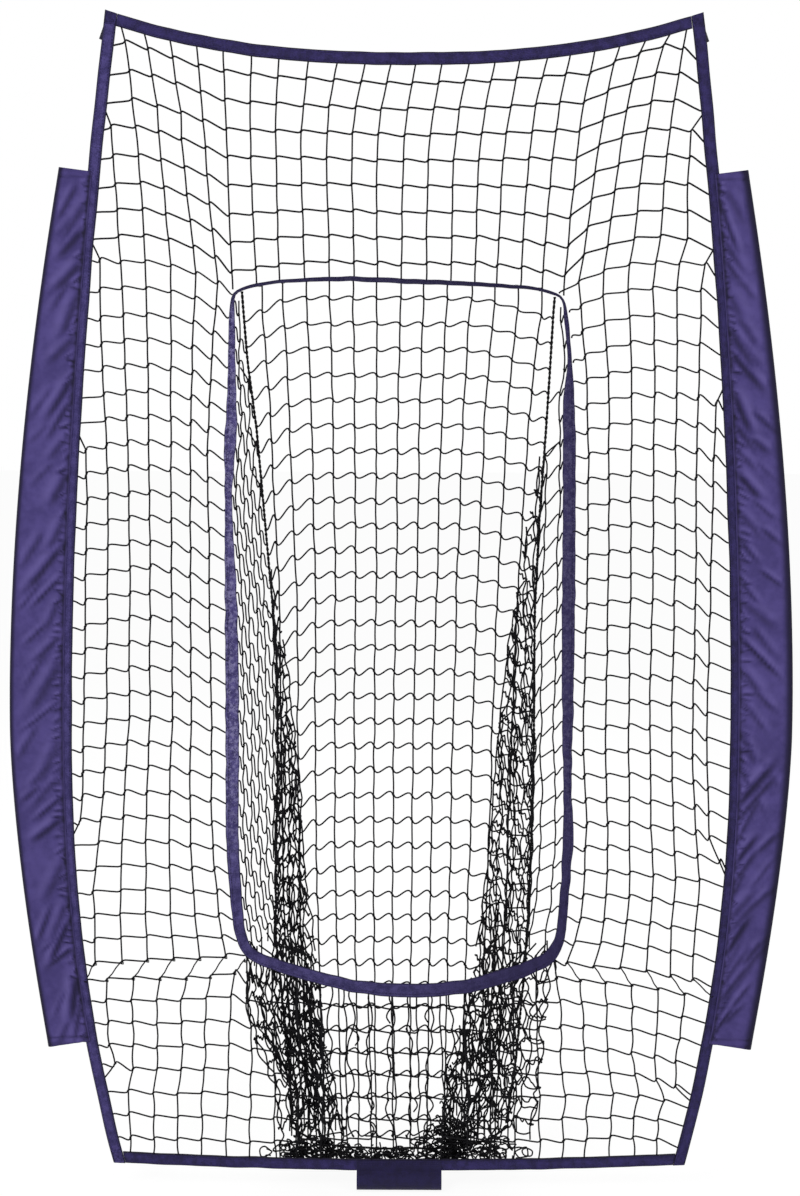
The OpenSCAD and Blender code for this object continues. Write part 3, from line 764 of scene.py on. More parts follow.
def face_out(piece, middle_of):
    """Turns the faces outwards, away from the nearest point of the piece's middle line."""
    mesh = piece.data
    votes = 0
    for polygon in list(mesh.polygons)[::max(1, len(mesh.polygons) // 200)]:
        votes += 1 if polygon.normal.dot(polygon.center - middle_of(polygon.center)) > 0 else -1
    if votes < 0:
        mesh.flip_normals()


WEB_T = 0.0009          # one ply of webbing
FOLD_R = 0.0021         # the soft fold on a band's outer edge


def tape_section(v, width):
    """A folded tape's section: distance from the fold, and depth. v runs back edge, fold, front edge."""
    bend = math.pi * FOLD_R
    flat = width - FOLD_R
    s = v * (2 * flat + bend)
    if s < flat:
        away = width - s
        side = 1
    elif s > flat + bend:
        away = FOLD_R + s - flat - bend
        side = -1
    else:
        angle = (s - flat) / FOLD_R
        return FOLD_R - FOLD_R * math.sin(angle), FOLD_R * math.cos(angle)
    pinch = max(0.0, 1 - abs(away - (width - 0.003)) / 0.004)
    return away, side * (FOLD_R + 0.0002 - 0.0005 * pinch)


def tape_uv(piece, width, length):
    """Sets the UV map's second value to the distance from the tape's fold, on both of its sides."""
    for entry in piece.data.uv_layers.active.data:
        away, _ = tape_section(min(max(entry.uv[1], 0), 1), width)
        entry.uv = (entry.uv[0] * length, away)


def folded_tape(name, steps, place, width, length, material, close=False):
    """place(u, away, depth) puts a point of the tape that lies away from the fold."""
    def put(u, v):
        away, depth = tape_section(v, width)
        return place(u, away, depth)

    tape = bent_sheet(name, steps, 22, put, (1, 1), 0, material, close)
    tape_uv(tape, width, length)
    only_select(tape)
    middle = np.array([tuple(place(i / 200, width * 0.5, 0.0)) for i in range(201)])

    def nearest(point):
        gap = middle - np.array(tuple(point))
        return Vector(middle[int((gap ** 2).sum(1).argmin())])

    face_out(tape, nearest)
    give_wall(tape, WEB_T)
    return tape


# %% [markdown]
# ## Stitches
# What holds webbing together is a lockstitch: short thread bars in a row, each one a little proud of
# the tape and sunk in at its ends. They are modelled, since a painted line would stay flat in close
# views, and joined to the piece that they are sewn into.

# %% Sewing
THREAD_R = 0.00045
THREAD_RISE = 0.0004    # how far the middle of a stitch stands in front of its ends


def sew(piece, rows, step=0.0062):
    """rows are pairs of a function from 0..1 to a place on the cloth, and the row's length."""
    thread = Strands()
    for at, length in rows:
        count = max(2, int(length / step))
        for i in range(count):
            a, b = at((i + 0.16) / count), at((i + 0.84) / count)
            thread.tube([a, (a + b) / 2 + Vector((0, -THREAD_RISE, 0)), b], THREAD_R, 4)
    row = thread.finish(piece.name + "_thread", stitch_thread)
    only_select(piece)
    row.select_set(True)
    bpy.ops.object.join()


# %% [markdown]
# ## Bands
# The edge of the net is folded into webbing tape 22 mm wide. Each band here is a bent grid with the
# tape's U section: a soft fold on the outside, and two plies that close on the net inside. A tape
# that is sewn by hand is never quite even, so a slow wave of half a millimetre runs along it.

# %% Side, top and bottom bands
def unevenness(u, seed, size=0.0006):
    return size * noise.noise(Vector((u * 23, seed, 0))) * 2


def side_band_place(side, seed):
    def place(u, away, depth):
        x_top = band_half(CORNER_H) - away
        x_low = band_half(BOTTOM_H) - away
        low, high = bottom_edge(x_low), top_edge(x_top)
        z = low + (high - low) * u
        wave = unevenness(u, seed) if 0.004 < u < 0.996 else 0.0
        return Vector((side * (band_half(z) - away + wave), depth + unevenness(u, seed + 5, 0.0004), z))
    return place


BUTT_GAP = 0.0007       # between a cross band's end and the side band


def cross_band_place(edge, inward, seed):
    def place(u, away, depth):
        half = band_half(edge(0.5) + inward * away) - BAND_W - BUTT_GAP
        x = -half + 2 * half * u
        y = depth + unevenness(u, seed + 5, 0.0003)
        return Vector((x, y, edge(x) + inward * away + unevenness(u, seed)))
    return place


# name, node, steps along it, place, length, finish. The left band's finish is the lighter copy of the
# webbing, painted light for its lit side.
BANDS = (("left_edge_band", "left_band", 190, side_band_place(-1, 1.0), 2.13, lit_webbing),
         ("right_edge_band", "right_band", 190, side_band_place(1, 2.0), 2.13, dark_webbing),
         ("top_edge_band", "top_band", 100, cross_band_place(top_edge, -1, 3.0), 1.0, dark_webbing),
         ("bottom_edge_band", "bottom_band", 100, cross_band_place(bottom_edge, 1, 4.0), 1.03, dark_webbing))
STITCH_ROWS = (0.0040, BAND_W - 0.0042)     # from the fold
TAPE_FRONT = -FOLD_R - 0.0003


def along_band(place, away):
    return lambda t: place(0.012 + 0.976 * t, away, TAPE_FRONT)


for name, node, steps, place, length, finish in BANDS:
    band = folded_tape(name, steps, place, BAND_W, length, finish)
    sew(band, [(along_band(place, away), length) for away in STITCH_ROWS])
    put_in(band, "net", node)
print("bands", [name for name, *_ in BANDS])

# %% [markdown]
# ## Mouth rim
# The cut edge of the mouth is bound with a narrower tape. At the sides it lies flat, at the top the
# weight of the bag rolls it over, so it shows its edge there. There the tape is narrower and darkened
# with painted shade.

# %% Rim
def rim_place(u, away, depth):
    middle, width = rim_at(u)
    run = (rim_at(u + 0.0015)[0] - rim_at(u - 0.0015)[0]).normalized()
    inward = Vector((-run.z, 0, run.x))
    across = (away - RIM_W / 2) * width / RIM_W
    wave = unevenness((u % 1.0) * 5, 8.0, 0.0008) if 0.004 < u < 0.996 else 0.0
    thick = 0.75 + 0.25 * width / 0.018
    return middle + inward * (wave - across) + Vector((0, depth * thick + wave * 0.6, 0))


mouth_rim = folded_tape("mouth_rim_tape", 480, rim_place, RIM_W, RIM_LENGTH, rim_tape, close=True)
sew(mouth_rim, [(lambda t: rim_place(0.002 + 0.996 * t, RIM_W - 0.0040, TAPE_FRONT), RIM_LENGTH)])
put_in(mouth_rim, "net", "mouth_rim")
print("rim length", round(RIM_LENGTH, 2))

# %% [markdown]
# ## Front net
# The net is stretched between the bands and the mouth, and its mesh is nowhere quite square: rows hang
# from the dipped top band, drop in a V beside the mouth's upper corners and flatten towards the foot.
# So its knots come from short tables of places in millimetres, given at some rows and filled in
# between them. Row 1 is under the top band and row 37 is the lowest. dz is a knot's distance
# from its row's even height.

# %% Places of the knots
LAST_ROW = 37
ROW_1 = 2.0651


def row_height(r):
    return ROW_1 - (r - 1) * CELL


# x of the 15 middle columns at four rows, and dz at seven places across
MIDDLE_X = {1: (-315, -268, -221, -170, -122, -75, -31, 14, 61, 107, 152, 196, 241, 283, 325),
            2.4: (-312, -269, -225, -179, -134, -88, -43, 3, 48, 94, 139, 183, 227, 269, 310),
            4.4: (-309, -267, -223, -180, -136, -92, -48, -2, 42, 86, 131, 173, 217, 259, 301),
            8.2: (-302, -261, -220, -175, -130, -86, -46, -3, 41, 85, 127, 166, 209, 246, 285)}
MIDDLE_DZ_AT = (-300, -247, -148, -7, 131, 221, 280)
MIDDLE_DZ = {1: (-34, -42, -48, -54, -49, -44, -36), 4: (-45, -45, -45, -50, -47, -45, -45),
             8: (-62, -52, -42, -47, -44, -54, -65)}
# (x, dz) of the columns beside the mouth, from the mouth outwards
LEFT_KNOTS = {
    1: ((-359, -24), (-404, -11), (-447, 4), (-486, 17), (-526, 12), (-560, 0), (-585, 0)),
    2: ((-356, -23), (-399, -9), (-439, 3), (-480, 11), (-521, 8), (-560, 0), (-585, 0)),
    3: ((-351, -27), (-389, -13), (-431, -2), (-476, 9), (-516, 8), (-558, 0), (-585, 0)),
    4: ((-348, -29), (-389, -14), (-429, -2), (-469, 7), (-513, 8), (-556, 0), (-585, 0)),
    6: ((-342, -33), (-381, -18), (-421, -7), (-462, 1), (-507, -1), (-549, 0), (-582, 0)),
    8: ((-333, -35), (-371, -18), (-414, -6), (-458, 1), (-502, 0), (-549, 0), (-582, 0)),
    9: ((-328, -36), (-366, -18), (-410, -6), (-455, 1), (-498, 1), (-536, 5), (-576, -9)),
    11: ((-336, -33), (-372, -14), (-411, -5), (-453, 0), (-496, -1), (-536, -8), (-570, -12)),
    14: ((-344, -25), (-376, -10), (-413, -4), (-453, 1), (-492, -1), (-532, -6), (-570, -13)),
    16: ((-348, -20), (-379, -8), (-414, -3), (-453, 1), (-491, -1), (-529, -6), (-565, -13)),
    18: ((-348, -20), (-380, -9), (-414, -3), (-453, 2), (-490, 0), (-528, -6), (-565, -14)),
    21: ((-347, -22), (-381, -11), (-415, -2), (-453, 3), (-490, 1), (-530, -6), (-570, -15)),
    27: ((-345, -21), (-382, -10), (-416, -3), (-457, -1), (-495, -1), (-536, -6), (-577, -14)),
    30: ((-347, -16), (-386, -11), (-423, -3), (-464, -3), (-505, -3), (-544, -7), (-583, -12)),
    32: ((-345, -14), (-385, -10), (-425, -4), (-467, -3), (-511, -4), (-554, -7), (-590, -12)),
    34: ((-338, -9), (-381, -8), (-424, -5), (-468, -3), (-514, -5), (-566, -9), (-606, -10)),
    35: ((-335, -7), (-379, -7), (-424, -5), (-469, -3), (-516, -5), (-563, -8), (-606, -10)),
    36: ((-329, -3), (-374, -3), (-421, -3), (-468, -2), (-515, -5), (-564, -8), (-606, -10)),
    37: ((-322, 7), (-371, 3), (-418, 1), (-466, -1), (-514, -4), (-563, -7), (-612, -9))}
RIGHT_KNOTS = {
    1: ((366, -16), (409, -2), (452, 13), (485, 9), (526, 5), (560, 0), (585, 0)),
    2: ((356, -19), (398, -4), (440, 10), (479, 11), (519, 5), (560, 0), (585, 0)),
    3: ((349, -22), (390, -6), (432, 8), (472, 10), (513, 5), (555, 0), (585, 0)),
    4: ((342, -23), (383, -7), (425, 6), (466, 8), (503, 4), (550, 0), (585, 0)),
    6: ((330, -26), (371, -10), (415, 1), (458, 5), (499, 3), (546, 3), (585, 0)),
    8: ((319, -30), (361, -14), (408, -1), (454, 4), (501, 0), (545, 3), (580, 0)),
    9: ((310, -31), (354, -12), (399, 1), (445, 3), (489, 2), (533, 2), (572, 0)),
    10: ((315, -28), (354, -10), (398, -1), (442, 3), (485, 2), (527, 1), (568, -3)),
    13: ((327, -23), (366, -12), (407, -3), (448, -1), (488, -2), (528, -4), (561, -14)),
    16: ((333, -20), (369, -12), (409, -6), (449, -4), (488, -6), (526, -12), (556, -23)),
    21: ((335, -20), (373, -13), (412, -8), (452, -9), (492, -13), (530, -19), (557, -32)),
    27: ((331, -16), (372, -14), (414, -12), (452, -14), (492, -17), (530, -21), (556, -34)),
    31: ((340, -13), (379, -12), (419, -12), (458, -17), (500, -22), (540, -28), (566, -38)),
    33: ((338, -12), (380, -12), (422, -13), (464, -19), (505, -24), (550, -27), (606, -38)),
    34: ((337, -12), (379, -13), (421, -14), (464, -19), (504, -25), (548, -29), (610, -38)),
    35: ((332, -11), (375, -13), (418, -15), (461, -19), (500, -26), (544, -31), (612, -35)),
    36: ((323, -9), (370, -11), (413, -14), (458, -20), (500, -26), (541, -32), (616, -35)),
    37: ((309, -4), (358, -10), (407, -13), (456, -19), (500, -29), (542, -34), (620, -35))}
SIDE_COLUMNS = 7
MIDDLE_COLUMNS, MIDDLE_ROWS = 15, 8
TUCK = 0.004            # how far a strand runs into a tape
BAND_ROOM = 0.008       # a knot stays this far below the top band


def between_rows(table, r, column, part):
    """A value of the table's column at row r, between the rows that the table gives."""
    rows = sorted(table)
    return float(np.interp(r, rows, [table[k][column][part] for k in rows]))


def side_knot(side, column, r):
    """Knot of row r in a column beside the mouth (0 is nearest to it), side -1 or 1."""
    table = LEFT_KNOTS if side < 0 else RIGHT_KNOTS
    return Vector((between_rows(table, r, column, 0) * MM, 0,
                   row_height(r) + between_rows(table, r, column, 1) * MM))


def middle_knot(column, r):
    """Knot of row r in one of the columns above the mouth."""
    rows = sorted(MIDDLE_X)
    x = float(np.interp(r, rows, [MIDDLE_X[k][column] for k in rows]))
    rows = sorted(MIDDLE_DZ)
    dz = float(np.interp(r, rows, [float(np.interp(x, MIDDLE_DZ_AT, MIDDLE_DZ[k])) for k in rows]))
    return Vector((x * MM, 0, row_height(r) + dz * MM))


def inside_band(x, z, room=0.009):
    return abs(x) < band_half(z) - BAND_W - room


def loose(knot, size=0.0009):
    return knot + Vector((jitter(size), jitter(0.0006), jitter(size)))


middle_knots = {(c, r): loose(middle_knot(c, r))
                for r in range(1, MIDDLE_ROWS + 1) for c in range(MIDDLE_COLUMNS)}
side_knots = {}
for side in (-1, 1):
    for column in range(SIDE_COLUMNS):
        for r in range(1, LAST_ROW + 1):
            knot_at = side_knot(side, column, r)
            below_top = knot_at.z < top_edge(knot_at.x) - BAND_W - BAND_ROOM
            if inside_band(knot_at.x, knot_at.z) and below_top:
                side_knots[side, column, r] = loose(knot_at)
print("front knots", len(middle_knots) + len(side_knots))

# %% [markdown]
# Rows and columns are then strung through these knots. A row that reaches a side band turns down a
# little and goes into the tape, and a column that the narrowing band cuts off slants into it.

# %% Stringing the front net
front = Strands()


def in_side_band(side, z, y=0.0):
    """Where a strand ends that goes into the side band at height z."""
    return Vector((side * (band_half(z) - BAND_W + TUCK), y, z))


def in_top_band(x):
    return Vector((x, 0, top_edge(x) - BAND_W + TUCK))


def side_band_end(side, knot_at, drop):
    """Where a row that leaves this knot goes into the side band."""
    return in_side_band(side, knot_at.z - drop)


def string_row(strands, knots, slant=1, slack=0.6, radius=TWINE_R, hooked=1.0):
    for a, b in zip(knots, knots[1:]):
        strands.tube(bar_path(a, b, slant, slack, hooked=hooked), radius)


def slack_at(r):
    """Bars are nearly taut under the top band and looser beside the mouth."""
    return float(np.interp(r, (1, 4, 9, 14), (0.16, 0.2, 0.42, 0.66)))


RIM_CORNER_Z = 1.648                    # where the first row beside the mouth meets its tape
RIM_FOOT_Z = {-1: 0.440, 1: 0.429}      # and where the last one does
for r in range(1, LAST_ROW + 1):
    halves = []
    for side in (-1, 1):
        outer = [side_knots[side, c, r] for c in range(SIDE_COLUMNS) if (side, c, r) in side_knots]
        last = outer[-1]
        drop = 0.006 + abs(jitter(0.006)) + (0.008 if side > 0 and r < 14 else 0.0)
        halves.append((outer, side_band_end(side, last, drop)))
    (left, left_end), (right, right_end) = halves
    if r <= MIDDLE_ROWS:
        middle_row = [middle_knots[c, r] for c in range(MIDDLE_COLUMNS)]
        string_row(front, [left_end, *reversed(left), *middle_row, *right, right_end], 1, slack_at(r), 0.0018)
    else:
        for side, outer, end in ((-1, left, left_end), (1, right, right_end)):
            z = outer[0].z - (0.014 if r < 13 else 0.007 if r < 20 else 0.003)
            if r == MIDDLE_ROWS + 1:
                z = RIM_CORNER_Z
            if r == LAST_ROW:
                z = RIM_FOOT_Z[side]
            rim_end = Vector((rim_side(side, z) + side * 0.005, 0, z))
            row = [rim_end, *outer, end]
            string_row(front, row if side > 0 else row[::-1], 1, slack_at(r))

for knot_at in [*middle_knots.values(), *side_knots.values()]:
    tie_knot(front, knot_at, 1)

for c in range(MIDDLE_COLUMNS):
    column = [middle_knots[c, r] for r in range(1, MIDDLE_ROWS + 1)]
    lean = (column[0].x - column[1].x) * 0.8
    foot_x = column[-1].x * 0.995
    foot_z = rim_level(min(max(foot_x, -0.288), 0.276), 1) + 0.001
    front.tube(upright_path([in_top_band(column[0].x + lean), *column, Vector((foot_x, 0, foot_z))]))

CUT_SLANT = 0.030       # a cut-off column meets the band this far above or below its last knot
for side in (-1, 1):
    for c in range(SIDE_COLUMNS):
        rows = sorted(r for s, k, r in side_knots if s == side and k == c)
        path = [side_knots[side, c, r] for r in rows]
        first, last = path[0], path[-1]
        if rows[0] == 1:
            path.insert(0, in_top_band(first.x + (first.x - path[1].x)))
        else:
            path.insert(0, in_side_band(side, first.z + CUT_SLANT))
        if rows[-1] < LAST_ROW:
            path.append(in_side_band(side, last.z - CUT_SLANT))
        front.tube(upright_path(path))
put_in(front.finish("front_netting", net_twine), "net", "front_net")

# %% [markdown]
# ## Lower net and its lacing
# A second panel of the same netting closes the foot. A lacing cord joins its top row to the front
# net's last row, and its turns slant outwards and down on both sides.

# %% Lower net
LOWER_LEFT = (
    ((-282, 386), (-305, 403), (-351, 394), (-395, 392), (-445, 391), (-494, 391), (-543, 388)),
    ((-281, 346), (-314, 357), (-359, 354), (-405, 350), (-451, 348), (-498, 348), (-544, 349)),
    ((-276, 297), (-315, 310), (-360, 309), (-405, 306), (-451, 303), (-496, 305), (-540, 306)),
    ((-276, 254), (-317, 264), (-361, 262), (-404, 260), (-451, 259), (-495, 260), (-539, 263)),
    ((-277, 209), (-318, 216), (-364, 216), (-407, 216), (-451, 215), (-496, 216), (-530, 226)),
    ((-278, 165), (-321, 169), (-368, 170), (-414, 167), (-460, 169), (-506, 173), (-545, 182)),
    ((-279, 119), (-323, 123), (-369, 124), (-414, 122), (-459, 124), (-505, 130), (-555, 138)),
    ((-279, 73), (-324, 77), (-370, 79), (-415, 78), (-458, 81), (-503, 83), (-555, 87)))
LOWER_RIGHT = (
    ((289, 395), (334, 390), (380, 385), (430, 381), (477, 374), (526, 364)),
    ((297, 349), (338, 348), (385, 344), (432, 339), (479, 331), (523, 320)),
    ((298, 301), (341, 302), (384, 300), (432, 295), (476, 287), (520, 279)),
    ((300, 255), (343, 257), (387, 256), (431, 250), (474, 243), (513, 235)),
    ((304, 210), (348, 212), (392, 211), (438, 208), (478, 198), (513, 186)),
    ((309, 166), (354, 169), (400, 170), (447, 167), (494, 158), (539, 149)),
    ((304, 122), (349, 124), (394, 125), (438, 125), (482, 121), (529, 114)),
    ((307, 79), (351, 82), (395, 86), (437, 87), (481, 82), (530, 71)))
MIDDLE_SAG = (0, -10, -10, -6, -5, -3, -2, 6)
LOWER_MIDDLE = 12       # columns between the two tables


def knots_from(places):
    """Loose knots at (x, z) in millimetres, without those that the side band covers."""
    return [loose(Vector((x * MM, 0, z * MM))) for x, z in places if inside_band(x * MM, z * MM, 0.004)]


lower = Strands()
lower_rows = []
for q, (left, right) in enumerate(zip(LOWER_LEFT, LOWER_RIGHT)):
    left_row = knots_from(reversed(left))
    right_row = knots_from(right)
    a, b = left_row[-1], right_row[0]
    middle_row = []
    for k in range(1, LOWER_MIDDLE + 1):
        t = k / (LOWER_MIDDLE + 1)
        at = a.lerp(b, t) + Vector((0, 0, MIDDLE_SAG[q] * MM * math.sin(math.pi * t)))
        middle_row.append(loose(at, 0.002))
    lower_rows.append((left_row, middle_row, right_row))

for q, (left_row, middle_row, right_row) in enumerate(lower_rows):
    left_end = side_band_end(-1, left_row[0], 0.004 + abs(jitter(0.004)))
    right_end = side_band_end(1, right_row[-1], 0.010 + abs(jitter(0.005)))
    if q == 0:
        string_row(lower, [left_end, *left_row, Vector((-0.262, 0, 0.398))])
        string_row(lower, [Vector((0.252, 0, 0.378)), *right_row, right_end])
        middle_row.clear()
    else:
        string_row(lower, [left_end, *left_row, *middle_row, *right_row, right_end])
    for at in (*left_row, *middle_row, *right_row):
        tie_knot(lower, at, 1)


def in_bottom_band(at):
    x = at.x + jitter(0.004)
    return Vector((x, 0, bottom_edge(x) + BAND_W - TUCK))


for k in range(LOWER_MIDDLE):
    column = [row[1][k] for row in lower_rows[1:]]
    top = Vector((column[0].x, 0, rim_level(column[0].x, -1) - 0.004))
    lower.tube(upright_path([top, *column, in_bottom_band(column[-1])], 0.0022))
for index, side in ((0, -1), (2, 1)):
    longest = max(len(row[index]) for row in lower_rows)
    for c in range(longest):
        column = []
        for row in lower_rows:
            knots_of = row[index][::-1] if side < 0 else row[index]
            if c < len(knots_of):
                column.append(knots_of[c])
        if c == 0:
            column.insert(0, Vector((side * 0.283, 0, 0.432)))
        last = column[-1]
        if len(column) < len(lower_rows):
            column.append(in_side_band(side, last.z - CUT_SLANT))
        else:
            column.append(in_bottom_band(last))
        lower.tube(upright_path(column, 0.0024))
put_in(lower.finish("lower_netting", net_twine), "net", "lower_net")

# %% Lacing
lacing = Strands()
LACE_Y = -0.0006
LACE_R, WRAP_R, WRAP_OUT = 0.00135, 0.0011, 0.0026


def lace_turn(side, upper, under):
    """One slanting turn from knot to knot, with a wrap round each of them."""
    lacing.tube([upper + Vector((0, 0, 0.002)), upper.lerp(under, 0.35) + Vector((side * 0.0015, LACE_Y, 0)),
                 upper.lerp(under, 0.7) + Vector((-side * 0.001, LACE_Y, 0)), under], LACE_R)
    for end in (upper, under):
        wrap = [end + Vector((WRAP_OUT * math.cos(a), WRAP_OUT * math.sin(a),
                              side * 0.0012 * a / math.pi - 0.002))
                for a in np.linspace(0, 2.6 * math.pi, 12)]
        lacing.tube(wrap, WRAP_R)


for side in (-1, 1):
    top_row = lower_rows[0][0][::-1] if side < 0 else lower_rows[0][2]
    shift = 2 if side < 0 else 1
    uppers = [side_knots[side, c, LAST_ROW] for c in range(SIDE_COLUMNS) if (side, c, LAST_ROW) in side_knots]
    turns = [(Vector((side * 0.286, LACE_Y, 0.427)), top_row[1 - (side > 0)])]
    for c, upper in enumerate(uppers):
        index = c + shift
        if index < len(top_row):
            turns.append((upper, top_row[index]))
        else:
            turns.append((upper, in_side_band(side, upper.z - 0.032, LACE_Y)))
            break
    for upper, under in turns:
        lace_turn(side, upper, under)
put_in(lacing.finish("join_lacing_cord", net_twine), "net", "join_lacing")

# %% [markdown]
# ## Catch bag
# The bag's back panel continues the mesh above the mouth: it hangs from a head cord on the rim, leans
# back to its hem, and narrows because its sides are gathered. Its bars lie the other way round, as
# the panel shows its back. Columns near the gathered sides disappear among the folds.

# %% Back panel
BAG_Y, HEAD_Z, HEM_Z, BAG_DEPTH = 0.0054, 1.662, 0.048, 0.150
BAG_SLOPE = (BAG_DEPTH - BAG_Y) / (HEAD_Z - HEM_Z)
# (height, x) of the gathered seams and of the inner side of the folds
LEFT_SEAM = ((1.662, -0.286), (1.642, -0.285), (1.527, -0.277), (1.405, -0.262), (1.241, -0.249),
             (1.140, -0.241), (1.019, -0.231), (0.905, -0.228), (0.746, -0.230), (0.594, -0.234),
             (0.438, -0.236), (0.205, -0.215), (0.048, -0.206))
LEFT_INNER = ((1.662, -0.282), (1.527, -0.274), (1.405, -0.257), (1.241, -0.243), (1.139, -0.234),
              (1.018, -0.215), (0.904, -0.203), (0.744, -0.187), (0.591, -0.181), (0.434, -0.161),
              (0.292, -0.146), (0.169, -0.146), (0.128, -0.129), (0.048, -0.108))
RIGHT_SEAM = ((1.662, 0.272), (1.637, 0.268), (1.513, 0.263), (1.405, 0.258), (1.241, 0.249),
              (1.071, 0.244), (0.943, 0.245), (0.819, 0.247), (0.663, 0.246), (0.499, 0.243),
              (0.337, 0.235), (0.164, 0.222), (0.048, 0.206))
RIGHT_INNER = ((1.662, 0.268), (1.513, 0.260), (1.405, 0.253), (1.270, 0.2335), (1.230, 0.2245),
               (1.170, 0.217), (1.076, 0.204), (0.993, 0.193), (0.904, 0.185), (0.817, 0.177),
               (0.660, 0.168), (0.496, 0.153), (0.398, 0.139), (0.313, 0.123), (0.200, 0.095),
               (0.107, 0.083), (0.048, 0.066))
# (height, value) of the panel's middle column and of the distance between its columns
BAG_MIDDLE = ((1.662, -0.004), (1.575, -0.006), (1.437, -0.008), (1.120, -0.010), (0.835, -0.014),
              (0.412, -0.015), (0.048, -0.012))
BAG_PITCH = ((1.662, 0.0425), (1.638, 0.0418), (1.575, 0.0405), (1.437, 0.039), (1.120, 0.037),
             (0.598, 0.036), (0.412, 0.035), (0.048, 0.033))
# (row, height) of the panel's rows, counted from the top: the cells lengthen towards the foot
BAG_ROW_Z = ((0, 1.640), (15, 0.9565), (19, 0.767), (24, 0.5234), (27, 0.3856), (28, 0.342),
             (29, 0.2965), (34, 0.066), (35, 0.0315))


def bag_y(z):
    """Depth of the back panel at height z."""
    return BAG_Y + (HEAD_Z - z) * BAG_SLOPE


def head_level(x):
    """The head cord lies behind the tape of the mouth's upper edge."""
    return rim_level(min(max(x, -0.262), 0.243), 1) - 0.3 * max(0.0, abs(x + 0.010) - 0.253)


def head_y(x):
    """Far enough behind the tape to swing clear of it."""
    return BAG_Y + 0.0024 + 0.22 * max(0.0, head_level(x) - HEAD_Z)


HEM_Y = bag_y(HEM_Z) - 0.006
HEM_HALF, HEM_SAG = 0.21, 0.044


def hem_level(x):
    """The hem sags in its middle under the weight of the netting in it."""
    return HEM_Z - HEM_SAG * max(0.0, 1 - (x / HEM_HALF) ** 4)


BAG_COLUMNS = range(-6, 7)
BAG_ROWS = range(36)
SEAM_ROOM = 0.010       # a knot stays this far from the seams and above the hem
back = Strands()
back_knots = {}
for k in BAG_ROWS:
    z0 = curve_at(BAG_ROW_Z, k)
    left_x, right_x = curve_at(LEFT_SEAM, z0), curve_at(RIGHT_SEAM, z0)
    for c in BAG_COLUMNS:
        x = curve_at(BAG_MIDDLE, z0) + c * curve_at(BAG_PITCH, z0)
        x += 0.010 * max(0.0, 1 - (x - left_x) / 0.06)
        if not left_x + SEAM_ROOM < x < right_x - SEAM_ROOM:
            continue
        near_left = max(0.0, 1 - (x - left_x) / 0.105)
        near_right = max(0.0, 1 - (right_x - x) / 0.150)
        z = z0 - 0.054 * near_left ** 2 - 0.038 * near_right ** 1.3
        if z > hem_level(x) + SEAM_ROOM:
            back_knots[c, k] = Vector((x + jitter(0.001), bag_y(z) + jitter(0.0008), z + jitter(0.001)))
for k in BAG_ROWS:
    row = [back_knots[c, k] for c in BAG_COLUMNS if (c, k) in back_knots]
    if len(row) < 2:
        continue
    z_left, z_right = row[0].z - 0.016, row[-1].z - 0.008
    left_end = Vector((curve_at(LEFT_SEAM, z_left), bag_y(z_left), z_left))
    right_end = Vector((curve_at(RIGHT_SEAM, z_right), bag_y(z_right), z_right))
    slack = min(0.55 + 0.03 * k, 0.85) if k < 28 else 0.7
    string_row(back, [left_end, *row, right_end], -1, slack, hooked=0.35)
    for at in row:
        tie_knot(back, at, -1, 0.95)
for c in BAG_COLUMNS:
    rows = sorted(k for n, k in back_knots if n == c)
    path = [back_knots[c, k] for k in rows]
    path.insert(0, Vector((path[0].x, head_y(path[0].x), head_level(path[0].x))))
    path.append(Vector((path[-1].x, HEM_Y, hem_level(path[-1].x))))
    back.tube(upright_path(path, 0.0012))
put_in(back.finish("bag_back_netting", net_twine), "bag", "bag_back_net")

# %% [markdown]
# ## Gussets
# The bag's sides are netting too. Beside the rim their columns hang a finger apart. Each knot lies
# lower than its neighbour nearer to the rim, so the bar between them climbs over a hump, runs down and
# comes up under the next knot, and the cells look like links of a chain. Nearer to the bag the side is
# gathered into folds: the columns crowd together, bulge to either side between their knots and leave
# narrow lens-shaped cells. Draping a whole net with a cloth simulation would be slow and hard to
# steer, so one function strings a crowded net between two curves, and the folds are layers of it.

# %% Crowded netting
HANG_CELL = 0.0435      # a cell of netting that hangs in folds
RIM_STRAIGHT = 0.46, 1.63       # between these heights the tape's inner edge is followed


def rim_inside(side):
    """x of the tape's inner edge, as a function of the height."""
    def at(z):
        z = min(max(z, RIM_STRAIGHT[0]), RIM_STRAIGHT[1])
        return rim_side(side, z) - side * (rim_half(side, z) - 0.002)
    return at


def on_curve(table):
    return lambda z: curve_at(table, z)


def evenly(first, pitch):
    return lambda index, z: first + index * pitch


def link_path(p, q, hump):
    """A bar much longer than its gap: over a hump beside p, down, and through a trough up to q."""
    if not hump:
        return bar_path(p, q, 1, 0.45)
    high, low = p.z + hump * (1 + jitter(0.35)), q.z - hump * (1 + jitter(0.35))
    fall = p.z - q.z

    def at(share, z):
        return Vector((p.x + (q.x - p.x) * share, p.y + (q.y - p.y) * share, z))
    down = [at(0.43, p.z - 0.10 * fall), at(0.57, q.z + 0.10 * fall)]
    return rounded([p, at(0.20, high), *down, at(0.80, low), q], 3)


MOST_COLUMNS = 20
CELL_RANGE = range(-9, 48)      # enough cells for the tallest fold, however far its columns step down


